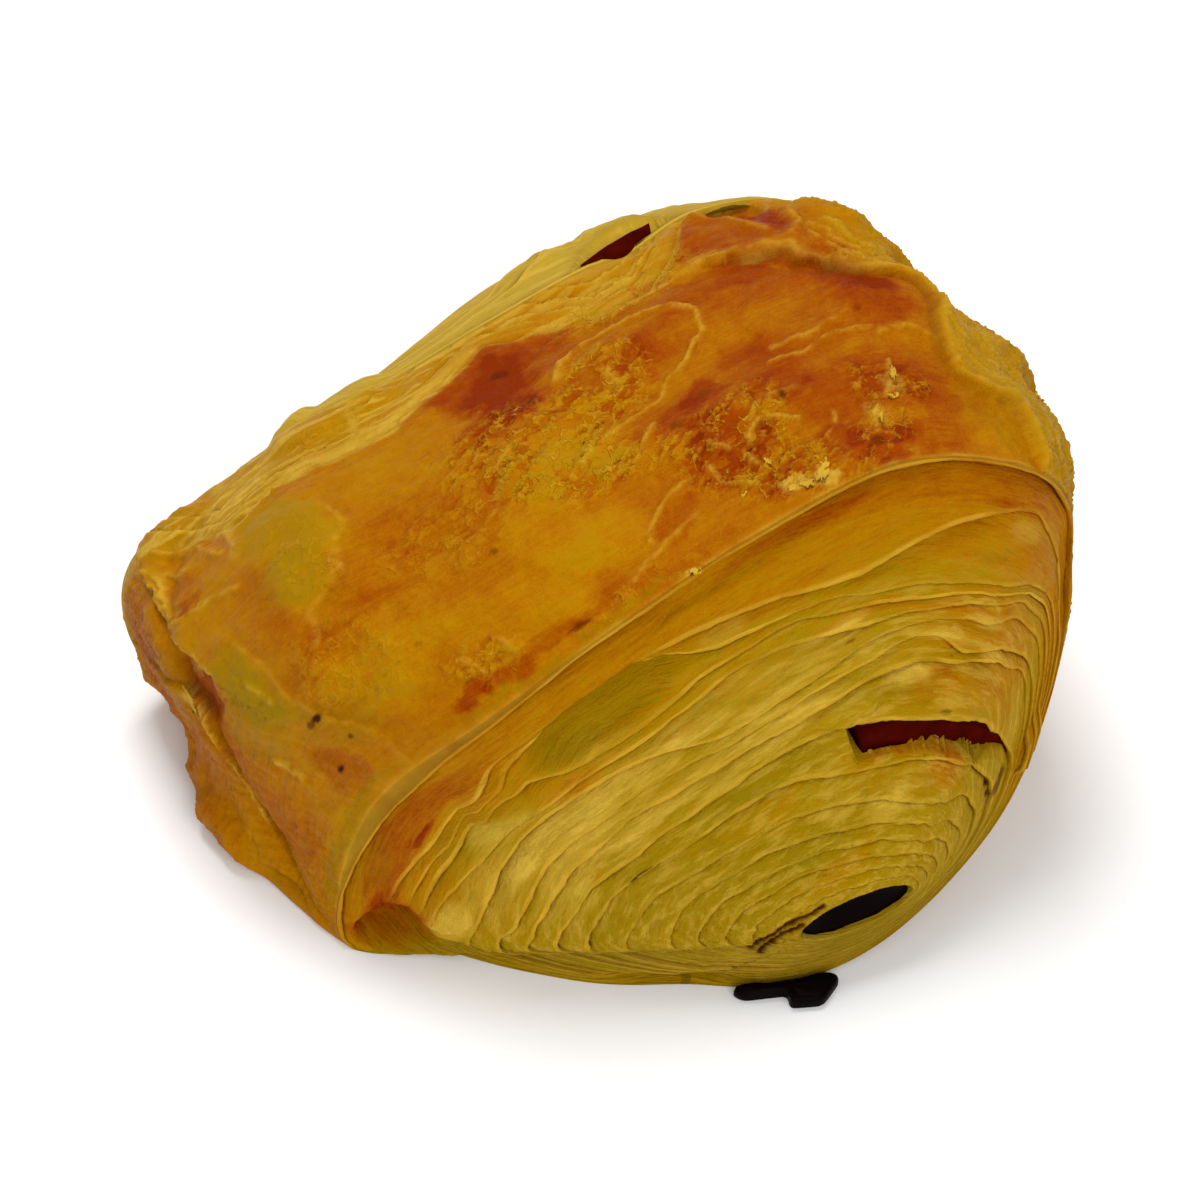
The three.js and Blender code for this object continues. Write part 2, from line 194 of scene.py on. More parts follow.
def terraces(value, levels, sharpness=0.14):
    """Turns a smooth field into flat films with steep broken edges, as peeling crust has."""
    steps = value * levels
    return (np.floor(steps) + smooth(steps - np.floor(steps), 0, sharpness)) / levels


print("the field closes:", bool(np.isclose(field(0.0, 0, 8, 1, 1), field(1.0, 0, 8, 1, 1))))

# %% [markdown]
# The near end shows sixteen layers. Each line below is the torn lip of one layer, from the crust
# edge inward, as (turn, height) knots, both in per cent: height is the way from the eye of the
# roll to the crust edge. Where two lips run together, the layers have baked into one.

# %% Where the lips of the layers run
NEAR_LIPS = [
    [(8, 100), (21, 100), (27, 97.5), (30, 96.5), (33, 98.5), (40, 100), (66, 100), (72, 98.5), (80, 100)],
    [(6, 95), (18, 93.5), (22.5, 89), (27, 86), (31, 87), (34, 90.5), (40, 91), (44, 90), (47, 87),
     (51, 82), (55, 80.5), (58, 83), (61, 88.5), (65.5, 92.5), (69, 90), (73, 91.5), (78, 95), (84, 96.5)],
    [(6, 91), (16, 88.5), (20, 87), (24, 84.6), (28, 83.5), (32, 85.5), (34.5, 89), (42, 89.5), (44, 85),
     (45.5, 82), (48, 80.5), (51, 79), (53, 76.5), (55, 74), (60, 72.5), (65, 74.5), (70, 80), (76, 90.5),
     (82, 94.5)],
    [(6, 86), (16, 85), (20, 84.5), (24, 82.6), (28, 82), (32, 83.5), (34.5, 81), (36, 77.5), (39, 75.8),
     (42, 77), (46, 77.5), (50, 77), (53, 74), (56, 70), (60, 70), (65, 72.5), (70, 78), (76, 88),
     (82, 93)],
    [(6, 81), (15, 80), (19, 83), (22, 81), (24.5, 77.5), (27, 73.5), (31, 73.5), (36, 73.5), (41, 73.5),
     (46, 74.5), (49, 73), (52, 70), (55, 67.5), (60, 67.5), (65, 70), (70, 75.5), (76, 85), (82, 91)],
    [(6, 76), (15, 74), (17.5, 72), (20, 70), (26, 70), (31, 70.5), (36, 71.5), (38.5, 70), (40, 67),
     (42, 62.5), (45, 60.5), (50, 60.5), (53, 62.5), (55, 64), (60, 64.5), (65, 66.5), (70, 71.5),
     (76, 82), (82, 88.5)],
    [(6, 70), (15, 68), (20, 64), (26, 62.5), (32, 63), (37, 62.5), (40, 61), (43, 59), (47, 58.5),
     (50, 58), (54, 59), (58, 61.3), (60.8, 61.5), (62.2, 57.5), (65, 59.5), (70, 63.5), (76, 77),
     (82, 85.5)],
    [(6, 63), (15, 61), (20, 58), (25, 56.5), (30, 56), (35, 57), (39, 56.5), (43, 55), (47, 53.5),
     (50, 54), (55, 55), (60, 56), (62.5, 55.5), (65, 56.5), (70, 60), (76, 73), (82, 82)],
    [(6, 55), (15, 55), (20, 53), (25, 50), (30, 48), (35, 48.5), (40, 49), (45, 48.7), (50, 48),
     (52.5, 46.5), (55, 44.5), (58, 42.5), (61, 42), (65, 43), (70, 45.5), (73, 49.5), (76, 58), (79, 70),
     (82, 78)],
    [(6, 46), (15, 48), (20, 47), (25, 45), (30, 43), (35, 42.5), (40, 42), (45, 41), (48, 39),
     (50, 36.5), (53, 34.5), (57, 32.5), (62, 33), (67, 33.5), (70, 34.5), (73, 38.5), (76, 45), (79, 56),
     (82, 65)],
    [(6, 38), (15, 40), (25, 37), (30, 35.5), (35, 34.5), (40, 33.5), (45, 31.5), (50, 28.5), (55, 25),
     (60, 22.5), (65, 22.5), (70, 24), (76, 36), (82, 51)],
    [(8, 29), (20, 30), (30, 29), (40, 27), (50, 21.5), (60, 17), (70, 18), (76, 27), (82, 40), (92, 30)],
    [(8, 22), (20, 24), (30, 23), (40, 21), (50, 16.5), (60, 13), (70, 13.5), (76, 20), (82, 30), (92, 23)],
    [(8, 16), (20, 18), (30, 17.5), (40, 16), (50, 12), (60, 9.5), (70, 10), (76, 14), (82, 21),
     (92, 16.5)],
    [(8, 10), (20, 12), (30, 12), (40, 11), (50, 8), (60, 6.5), (70, 6.5), (76, 9), (82, 13), (92, 10)],
    [(8, 5), (20, 6), (30, 6.5), (40, 6), (50, 4.5), (60, 3.5), (76, 4.5), (82, 6), (92, 5)]]
FAR_LIPS = [
    [(10, 100), (60, 100)],
    [(10, 95.5), (30, 95), (45, 96), (50, 90), (51.2, 84), (53, 82.5), (54.7, 79), (56.7, 73), (59.3, 67),
     (62, 68), (66, 77), (70, 86), (76, 92), (84, 95)],
    [(10, 91), (30, 90.5), (45, 91), (50, 84), (53, 75), (56, 68), (60, 61), (64, 64), (70, 78), (76, 86),
     (84, 90)],
    [(10, 86.5), (30, 85), (45, 84), (50, 77), (53, 69), (56, 62), (60, 55), (64, 57), (70, 70), (76, 79),
     (84, 84)],
    [(10, 81), (30, 80), (45, 77), (50, 70), (53, 63), (56, 56), (60, 50), (64, 51), (70, 62), (76, 71),
     (84, 78)],
    [(6, 74), (30, 73), (45, 70), (50, 63), (54, 56), (58, 49), (62, 45), (68, 50), (76, 61), (90, 70)],
    [(6, 64), (30, 63), (45, 60), (50, 55), (54, 49), (58, 43), (63, 39), (69, 43), (76, 53), (90, 61)],
    [(10, 54), (30, 53), (50, 46), (60, 36), (75, 45), (90, 52)],
    [(10, 44), (30, 43), (50, 37), (60, 29), (75, 36)],
    [(10, 33), (30, 32), (50, 28), (60, 22), (75, 27)],
    [(10, 22), (30, 21), (50, 18), (60, 15), (75, 18)],
    [(10, 11), (30, 10), (75, 9)]]
LIPS = {"near": NEAR_LIPS, "far": FAR_LIPS}
KNOT_BLEND, BLEND_SAMPLES = 0.010, 9
LIP_SEED = {"near": 100, "far": 140}
LIP_WANDER = ((34, 0.006, 0), (130, 0.0012, 400))
WANDERS_FROM, WANDERS_FULLY = 0.15, 0.75


def lip_reach(index, turn, end):
    """How far out the lip of one layer stands, with the small wander of real dough."""
    if index >= len(LIPS[end]):
        return np.zeros_like(turn)
    knots = np.array(LIPS[end][index], float) / 100
    turns = np.concatenate([knots[:, 0] - 1, knots[:, 0], knots[:, 0] + 1])
    values = np.tile(knots[:, 1], 3)
    shifts = np.linspace(-1, 1, BLEND_SAMPLES) * KNOT_BLEND
    reach = np.mean([np.interp(turn + shift, turns, values) for shift in shifts], axis=0)
    if index == 0:
        return reach
    wander = wobbles(turn, LIP_WANDER, LIP_SEED[end] + index)
    return reach + wander * smooth(reach, WANDERS_FROM, WANDERS_FULLY)


print("lips:", len(NEAR_LIPS), "near,", len(FAR_LIPS), "far")

# %% [markdown]
# Some places break the even steps. A lens-shaped pocket and an open corner lie deeper and torn
# sheets stand proud: each is a soft patch with ragged edges, given by its middle (turn, height),
# its half sizes and its depth in millimetres.

# %% Pockets and flaps of the end faces
SWELLS_OF_FACE = {
    "near": [
        (0.392, 0.835, 0.045, 0.072, -2.4), (0.17, 0.88, 0.04, 0.085, -4.5),
        (0.215, 0.77, 0.038, 0.065, 1.3), (0.285, 0.79, 0.045, 0.06, 0.9),
        (0.318, 0.82, 0.022, 0.09, 1.3), (0.27, 0.63, 0.11, 0.05, 0.7), (0.48, 0.95, 0.05, 0.04, -0.8),
        (0.58, 0.52, 0.04, 0.03, 0.4), (0.53, 0.49, 0.03, 0.035, 0.9), (0.145, 0.84, 0.03, 0.12, -1.5),
        (0.01, 0.85, 0.03, 0.13, -1.5), (1.01, 0.85, 0.03, 0.13, -1.5), (0.727, 0.94, 0.03, 0.06, -1.1),
        (0.8, 0.86, 0.018, 0.05, 1.3)],
    "far": [
        (0.546, 0.8, 0.02, 0.12, 1.0), (0.515, 0.84, 0.014, 0.08, 0.7), (0.5, 0.86, 0.02, 0.05, 1.0),
        (0.624, 0.82, 0.034, 0.12, -0.9), (0.395, 0.94, 0.03, 0.06, 1.6),
        (0.375, 0.94, 0.014, 0.06, 1.2), (0.335, 0.96, 0.016, 0.08, -1.6)]}
QUIET_CORNER = (0.165, 0.90, 0.075, 0.16)
PATCH_CELLS = (36, 22)
PATCH_RAGGED = (0.006, 0.012)
SECOND_SEED = 9


def patches(turn, across, table, seed=11, ragged=1.0, inner=0.55, outer=1.1):
    """Sum of ragged patches (turn, across, half turn, half across, amount) of a surface."""
    moved_turn, moved_across = (
        place + size * ragged * rough_field(turn, across, *PATCH_CELLS, seed + shift)
        for place, size, shift in zip((turn, across), PATCH_RAGGED, (0, SECOND_SEED)))
    total = np.zeros(np.shape(across))
    for at_turn, at_across, half_turn, half_across, amount in table:
        distance = np.hypot((moved_turn - at_turn) / half_turn, (moved_across - at_across) / half_across)
        total = total + amount * (1 - smooth(distance, inner, outer))
    return total


print("pockets and flaps:", {end: len(table) for end, table in SWELLS_OF_FACE.items()})

# %% [markdown]
# The melted upper baton sits in a slot between two layers, open at both ends, and over it the far
# rim of the crust has sunk. Beside the eye two thin slits run out to the left. A slot is given by
# the turns it starts and stops at, its height and depth in millimetres and the length over which
# it closes. The slits are chains of (x, z) points in millimetres on the near face.

# %% Slots and slits
SLOTS = {
    ("near", 8): (0.527, 0.775, 2.8, 5.0, 0.060),
    ("near", 9): (0.775, 0.835, 0.5, 1.1, 0.030),
    ("far", 0): (0.518, 0.572, 2.2, 4.0, 0.014),
}
NO_SLOT = (2.0, 3.0, 0.0, 0.0, 0.1)
SLOT_LEAD = {"near": 0.004, "far": 0.012}
NOTCH_TURN, NOTCH_WIDTH, NOTCH_DEPTH = 0.540, 0.018, 1.7
EYE_SLITS = ([(7.5, 10.6), (3.8, 9.0), (1.4, 7.2), (-0.4, 5.5)],
             [(5.0, 8.6), (3.0, 7.5), (1.4, 6.2), (0.4, 4.9)])
EYE_SLIT_WIDTH, EYE_SLIT_DEPTH, EYE_SLIT_STARTS = 0.30, 0.25, 0.012


def slot_share(end, index, turn):
    """1 where a layer stands open as a slot, its height and its depth in mm."""
    start, stop, height, depth, taper = SLOTS.get((end, index), NO_SLOT)
    lead = SLOT_LEAD[end]
    share = window(turn, (start - lead, start + lead), (stop - taper, stop))
    return share, height, depth


def far_notch(turn):
    """How deep the far rim of the crust has sunk over the upper baton, in mm."""
    return NOTCH_DEPTH * np.exp(-((np.asarray(turn) - NOTCH_TURN) / NOTCH_WIDTH)**2)


def distance_to_chain(x, y, points):
    """Distance to a chain of points, and 1 or -1 for the right or left hand when walked along."""
    best, hand = np.full(x.shape, 1e9), np.ones(x.shape)
    for (ax, ay), (bx, by) in zip(points, points[1:]):
        dx, dy = bx - ax, by - ay
        share = np.clip(((x - ax) * dx + (y - ay) * dy) / (dx * dx + dy * dy), 0, 1)
        distance = np.hypot(x - ax - share * dx, y - ay - share * dy)
        nearer = distance < best
        best = np.where(nearer, distance, best)
        hand = np.where(nearer, np.sign(dy * (x - ax) - dx * (y - ay)), hand)
    return best, hand


def slit_share(points):
    """How close points of the near end lie to the two thin slits beside the eye, from 0 to 1."""
    x, z = points[:, 0], points[:, 2]
    nearest = np.minimum.reduce([distance_to_chain(x, z, chain)[0] for chain in EYE_SLITS])
    return np.exp(-(nearest / EYE_SLIT_WIDTH)**2)


print("slots:", len(SLOTS), "slits:", len(EYE_SLITS))

# %% [markdown]
# Colour follows the bake. The outermost sheets browned, the inner ones only dried to a pale
# yellow, and where a sheet tore its crumb is almost white. Each surface point carries these as
# numbers: toast, pale, stain (which also carries painted shade in the slits and the eye), and
# olive for the greenish tint of thin waxy dough.

# %% How the bake coloured the end faces
NEAR_TOAST = [
    (0.6, 0.955, 0.1, 0.055, 0.18), (0.64, 0.83, 0.07, 0.07, 0.16), (0.51, 0.955, 0.05, 0.022, 0.25),
    (0.265, 0.915, 0.08, 0.05, 0.36), (0.27, 0.875, 0.012, 0.012, 0.5), (0.175, 0.88, 0.05, 0.1, 0.62),
    (0.62, 0.35, 0.09, 0.018, 0.5), (0.73, 0.86, 0.03, 0.1, 0.12), (0.55, 0.7, 0.04, 0.02, 0.22),
    (0.6, 0.68, 0.05, 0.02, 0.18), (0.345, 0.74, 0.025, 0.03, 0.25), (0.39, 0.68, 0.03, 0.02, 0.1),
    (0.49, 0.85, 0.05, 0.03, 0.12), (0.6, 0.45, 0.06, 0.02, 0.12), (0.64, 0.92, 0.03, 0.012, 0.15),
    (0.67, 0.6, 0.1, 0.16, 0.24), (0.62, 0.33, 0.13, 0.12, 0.08), (0.4, 0.2, 0.2, 0.14, 0.05),
    (0.665, 0.3, 0.05, 0.05, 0.16), (0.6, 0.5, 0.04, 0.05, 0.1), (0.296, 0.77, 0.03, 0.06, -0.22),
    (0.45, 0.83, 0.03, 0.04, -0.1), (0.63, 0.82, 0.03, 0.03, -0.14), (0.42, 0.37, 0.06, 0.05, 0.13),
    (0.607, 0.5, 0.03, 0.05, 0.14), (0.662, 0.3, 0.04, 0.05, 0.14), (0.479, 0.1, 0.09, 0.06, 0.1)]
NEAR_PALE = [
    (0.198, 0.765, 0.034, 0.055, 0.85), (0.33, 0.665, 0.075, 0.04, 0.6), (0.28, 0.67, 0.04, 0.03, 0.35),
    (0.52, 0.695, 0.024, 0.014, 0.8), (0.578, 0.525, 0.026, 0.02, 0.9), (0.565, 0.625, 0.035, 0.013, 0.7),
    (0.61, 0.615, 0.02, 0.012, 0.6), (0.645, 0.66, 0.03, 0.02, 0.6), (0.47, 0.625, 0.035, 0.016, 0.5),
    (0.36, 0.525, 0.06, 0.02, 0.5), (0.3, 0.6, 0.06, 0.02, 0.4), (0.62, 0.69, 0.012, 0.01, 0.5),
    (0.655, 0.87, 0.02, 0.03, 0.45), (0.536, 0.465, 0.014, 0.012, 0.7), (0.42, 0.66, 0.03, 0.03, 0.4),
    (0.66, 0.6, 0.05, 0.015, 0.5), (0.6, 0.27, 0.06, 0.015, 0.3), (0.76, 0.62, 0.03, 0.06, 0.35),
    (0.23, 0.5, 0.06, 0.02, 0.3), (0.46, 0.51, 0.05, 0.02, 0.35), (0.64, 0.7, 0.015, 0.01, 0.5),
    (0.24, 0.7, 0.05, 0.07, 0.35), (0.44, 0.56, 0.1, 0.04, 0.3), (0.27, 0.55, 0.06, 0.05, 0.3),
    (0.575, 0.22, 0.045, 0.035, 0.6), (0.296, 0.77, 0.025, 0.05, 0.55), (0.463, 0.83, 0.02, 0.03, 0.3),
    (0.5, 0.27, 0.04, 0.03, 0.3)]
NEAR_OLIVE = [
    (0.39, 0.84, 0.05, 0.08, 0.8), (0.3, 0.4, 0.2, 0.1, 0.5), (0.33, 0.2, 0.2, 0.14, 0.6),
    (0.45, 0.45, 0.08, 0.05, 0.5), (0.62, 0.56, 0.06, 0.02, 0.6), (0.28, 0.8, 0.05, 0.05, 0.4),
    (0.24, 0.95, 0.03, 0.04, 0.3), (0.5, 0.2, 0.15, 0.1, 0.3)]
NEAR_STAIN = [
    (0.302, 0.43, 0.02, 0.006, 0.9), (0.628, 0.437, 0.01, 0.006, 0.7), (0.507, 0.155, 0.003, 0.004, 0.6),
    (0.535, 0.65, 0.005, 0.004, 0.5), (0.617, 0.565, 0.002, 0.004, 0.5), (0.8, 0.62, 0.012, 0.07, 0.7),
    (0.65, 0.375, 0.1, 0.006, 0.35)]
NEAR_BASE_TOAST = ((0, 0.12), (0.35, 0.12), (0.60, 0.15), (0.75, 0.22), (0.88, 0.36), (1.0, 0.46))
FAR_BASE_TOAST = ((0, 0.06), (0.60, 0.06), (0.9, 0.05), (1.0, 0.05))
FAR_BASE_PALE = 0.45
SIDES_AND_TOP = ((0.12, 0.19), (0.80, 0.86))
PALE_BAND_REACH, PALE_BAND_TURN = ((0.46, 0.56), (0.66, 0.76)), ((0.20, 0.28), (0.50, 0.60))
PALE_BAND = 0.38
PATCH_TOAST, UNDERSIDE_FADE = 0.75, 0.7


def face_bake(end, turn, reach):
    """Toast, pale, olive and stain of an end face."""
    knots = np.array(NEAR_BASE_TOAST if end == "near" else FAR_BASE_TOAST)
    toast = np.interp(reach, knots[:, 0], knots[:, 1])
    if end == "far":
        return {"toast": toast, "pale": FAR_BASE_PALE}
    under = 1 - window(turn, *SIDES_AND_TOP)
    band = window(reach, *PALE_BAND_REACH) * window(turn, *PALE_BAND_TURN)
    band = PALE_BAND * band * (0.6 + 0.7 * field(turn, reach, 30, 26, 35))
    toast = toast * (1 - UNDERSIDE_FADE * under)
    return {"toast": toast + PATCH_TOAST * patches(turn, reach, NEAR_TOAST, 21),
            "pale": patches(turn, reach, NEAR_PALE, 31) + band,
            "olive": patches(turn, reach, NEAR_OLIVE, 41),
            "stain": patches(turn, reach, NEAR_STAIN, 51, 0.5)}


print("patches of bake:", len(NEAR_TOAST + NEAR_PALE + NEAR_OLIVE + NEAR_STAIN))

# %% [markdown]
# The mesh is one closed grid: columns run round the roll, and rows run from the near eye over the
# near end, the crust and the far end, and back through the tunnel of the lower baton. Columns are
# denser over the sides and top, which is what is looked at.

# %% Columns and the book-keeping of rows
TOP_COLUMNS, BASE_COLUMNS = 560, 80
TOP_FROM, TOP_TO = 0.14, 0.86
top = np.linspace(TOP_FROM, TOP_TO, TOP_COLUMNS, endpoint=False)
base = np.linspace(TOP_TO, 1 + TOP_FROM, BASE_COLUMNS, endpoint=False)
TURN = np.sort(np.concatenate([top, base % 1.0]))
COLUMNS = len(TURN)
ARC_PER_TURN, ARC_PER_SIDE, FACE_HEIGHT = 230.0, 24.0, 42.0
MARKS = ("edge", "groove", "crust", "toast", "pale", "olive", "stain", "flaky", "along", "across")


class Rows:
    """Collects rows of points together with what the materials need to know about them."""

    def __init__(self):
        self.points = []
        self.marks = {name: [] for name in MARKS}

    def add(self, points, **marks):
        self.points.append(points)
        for name in MARKS:
            self.marks[name].append(np.broadcast_to(marks.get(name, 0.0), (COLUMNS,)).astype(float))

    def reverse(self):
        self.points.reverse()
        for name in MARKS:
            self.marks[name].reverse()

    def extend(self, other):
        self.points += other.points
        for name in MARKS:
            self.marks[name] += other.marks[name]


print("columns:", COLUMNS)

# %% [markdown]
# A layer is a tread (the outer face of a sheet), a thin lip (its torn edge) and an undercut beneath
# it. Most lips stand free for a while and then bake on to the sheet below, so how free a lip is
# changes along it, and so do its thickness and how proud it stands.

# %% The torn lip of one layer
THICKNESS, UNDERCUT, SLIT = 0.38, 1.15, 0.26
THICKNESS_WAVES = ((50, 0.40, 0), (210, 0.12, 20))
HOLD_WAVES = ((17, 1.0, 0), (55, 0.5, 120))
HOLD_SEED = {"near": 240, "far": 300}
PROUD, PROUD_WAVES = 0.20, ((22, 0.24, 0), (90, 0.06, 1), (300, 0.02, 2))
PROUD_SEED, SEEDS_A_LAYER = {"near": 200, "far": 700}, 10
ROOM_FOR_LIP, ROOM_FOR_UNDERCUT = 2.0, 3.0
RIM_GAP_TURNS = ((0.60, 0.66), (0.76, 0.80))


def hold(index, turn, end):
    """1 where a layer stands free of the next one, and near 0 where the two have baked together."""
    return smooth(wobbles(turn, HOLD_WAVES, HOLD_SEED[end] + index), -0.75, 0.25)


def lip_out(index, turn, end, room):
    """How proud the torn edge stands: a little uneven along its length."""
    uneven = PROUD + wobbles(turn, PROUD_WAVES, PROUD_SEED[end] + SEEDS_A_LAYER * index)
    return uneven * np.clip(room / ROOM_FOR_LIP, 0.10, 1)


def lip_form(index, turn, end, lip, step, step_before):
    """Thickness, slit, undercut and proudness in mm, then how sharp, torn, free and quiet it is."""
    slot, slot_height, slot_depth = slot_share(end, index, turn)
    quiet = np.ones_like(turn)
    if end == "near" and index:
        corner = np.hypot((turn - QUIET_CORNER[0]) / QUIET_CORNER[2],
                          (lip - QUIET_CORNER[1]) / QUIET_CORNER[3])
        quiet = smooth(corner, 0.6, 1.1)
    calm = (0.40 + 0.60 * smooth(lip, 0.25, 0.65)) * quiet
    free = np.maximum(hold(index, turn, end) * calm, slot)
    uneven = THICKNESS * (1 + wobbles(turn, THICKNESS_WAVES, 300 + index))
    thick = np.minimum(uneven, 0.30 * step)
    slit = np.minimum(SLIT * (0.4 + 0.6 * free), 0.10 * step) + slot * np.minimum(slot_height, 0.80 * step)
    deep = UNDERCUT * np.clip(step / ROOM_FOR_UNDERCUT, 0.10, 1.2) * (0.25 + 0.75 * free) * calm
    deep = deep * (1 - slot) + slot * slot_depth
    room = np.minimum(step_before * 1.5, step * 2)
    proud = lip_out(index, turn, end, room) * (0.4 + 0.6 * free) * calm
    sharp = np.clip(step / 0.8, 0, 1) * (0.35 + 0.65 * calm)
    torn = sharp * (0.45 + 0.75 * free) * (0.75 + 0.35 * field(turn, 0, 75, 1, 360 + index))
    if index == 0:
        proud, torn = proud * 0.5, torn * 0.6
        if end == "near":
            deep = deep + window(turn, *RIM_GAP_TURNS)
    return thick, slit, deep, proud, sharp, torn, free, quiet


print("lip:", THICKNESS, "mm thick, undercut", UNDERCUT, "mm deep")

# %% [markdown]
# Walking down an end face, each layer adds rows: over the lip, into the undercut, and out along
# the tread to the next lip. The treads carry thin films of their own. In a slot the floor is
# fibrous, and crumbs stand up along its front edge.

# %% The end faces, layer by layer
ROW_SPACING = {"near": 0.42, "far": 0.55}
FEWEST_TREADS, FEWEST_BY_THE_EYE, MOST_TREADS, LAYERS_BY_THE_EYE = 4, 8, 18, 9
SHEEN_SHIFT = {"near": 0.0, "far": -14.0}
GRAIN_SEED = {"near": 700, "far": 760}
EYE_DARKENING = {"near": 0.9, "far": 0.3}
GRAIN_HEIGHT, FILM_HEIGHT = 0.30, 0.70
FIBRE_HEIGHT, TOOTH_HEIGHT = 0.35, 0.9
FLOOR_ROWS, FRONT_ROW = (0.25, 0.5, 0.75), 0.75


def face_rows(end):
    """All rows of one end face, from the crust edge to the eye."""
    rows, turn, count = Rows(), TURN, len(LIPS[end])
    edge, eye = crust_point(turn, np.full_like(turn, OUTWARD[end])), eye_point(turn, end)
    height = np.hypot(edge[:, 0] - eye[:, 0], edge[:, 2] - eye[:, 2])
    step_before = np.full_like(turn, 3.0)

    def put(reach, out, **marks):
        swell = patches(turn, reach, SWELLS_OF_FACE[end], 61, 0.6)
        marks.update(face_bake(end, turn, reach))
        if end == "near":
            slit = slit_share(face_point(turn, reach, end)) * smooth(reach, 0, EYE_SLIT_STARTS)
            out = out - EYE_SLIT_DEPTH * slit
            # painted shade: the two slits beside the eye are painted dark in colour as well
            marks["stain"] = np.maximum(marks["stain"], slit)
            marks["groove"] = np.maximum(marks.get("groove", 0.0), slit)
        points = face_point(turn, reach, end, out + swell)
        if end == "far":
            points[:, 2] -= far_notch(turn) * smooth(reach, 0.95, 1.0)
        rows.add(points, along=turn * ARC_PER_TURN, across=reach * FACE_HEIGHT + SHEEN_SHIFT[end], **marks)

    for index in range(count):
        lip, after = lip_reach(index, turn, end), lip_reach(index + 1, turn, end)
        step = np.maximum((lip - after) * height, 0.02)
        slot, _, _ = slot_share(end, index, turn)
        thick, slit, deep, proud, sharp, torn, free, quiet = lip_form(
            index, turn, end, lip, step, step_before)
        below, inner = lip - thick / height, lip - (thick + slit) / height
        shadow = (0.3 + 0.7 * free) * quiet
        put(lip, proud, edge=torn)
        put(lip - 0.5 * thick / height, proud + 0.06 * sharp, edge=torn)
        put(below, proud - 0.05 * sharp, edge=0.5 * torn, groove=0.3 * sharp * free)
        # painted shade: the undercut beneath each lip is darkened in colour, more where the lip stands free
        put(below, -deep, groove=shadow)
        put(inner, -deep, groove=shadow)
        start = lip - (thick + 1.15 * slit) / height
        start_out = -deep * 0.45 * (1 - slot) - 0.15 * slot
        if (end, index) in SLOTS:
            teeth = slot * TOOTH_HEIGHT / height * smooth(field(turn, 0, 300, 1, 347), 0.05, 0.5)
            # painted shade: the slot floor is painted darker the deeper in it lies
            for share in FLOOR_ROWS:
                fibres = FIBRE_HEIGHT * slot * field(turn + 0.02 * share, share, 150, 3, 340 + index)
                crumbs = smooth(field(turn, share, 330, 3, 345), 0.15, 0.6)
                raised = teeth if end == "near" and share == FRONT_ROW else 0
                put(inner + (start - inner) * share + raised, -deep + (start_out + deep) * share + fibres,
                    groove=(0.9 - 0.8 * share) * (1 - 0.6 * slot),
                    edge=share * slot * (0.35 + 1.3 * crumbs))
        put(start, start_out, groove=0.6 * sharp * free * (1 - 0.7 * slot))
        next_proud = lip_out(index + 1, turn, end, np.minimum(step * 1.5, 3.0)) if index + 1 < count else 0
        fewest = FEWEST_BY_THE_EYE if end == "near" and index >= LAYERS_BY_THE_EYE else FEWEST_TREADS
        widest = np.max(step[(turn > 0.15) & (turn < 0.8)])
        treads = int(np.clip(widest / ROW_SPACING[end], fewest, MOST_TREADS))
        for row in range(1, treads + 1):
            share = row / (treads + 1)
            place = (index + share) / (count + 1)
            grain = rough_field(turn, place, 40, 60, GRAIN_SEED[end], 4)
            uneven_share = share + 0.30 * field(turn, place, 30, 40, 760)
            films = terraces(uneven_share, 3.0 + index % 2, 0.15) - share
            strength = np.clip(step / 4, 0.05, 1) * math.sin(math.pi * share)
            out = start_out + (next_proud - start_out) * share**0.6
            out = out + (GRAIN_HEIGHT * grain + FILM_HEIGHT * films * quiet) * strength
            line = np.clip(-4.0 * films, 0, 1) * strength * quiet
            # painted shade: the tread is painted darker just below each lip and along the edges of its
            # films
            put(start + (after - start) * share, out,
                groove=0.35 * (1 - share)**4 * sharp * free + 0.30 * line)
        step_before = step
    # painted shade: the rim of the eye is painted dark
    put(np.zeros_like(turn), np.full_like(turn, -0.4), stain=np.full_like(turn, EYE_DARKENING[end]))
    return rows


print("rows in a tread:", FEWEST_TREADS, "to", MOST_TREADS)

# %% [markdown]
# The crust is the outermost sheet. Egg wash and heat lift it in broad waves and blisters, shrink
# it into ridges, and its top film flakes off in ragged patches. Heights are in millimetres along
# the surface normal, and every feature is placed by turn and side: -1 is the near edge of the
# crust and 1 the far edge. A fold is a chain of such points with a height and a width; a film edge
# is a chain with the raised film on its right hand when walked along.

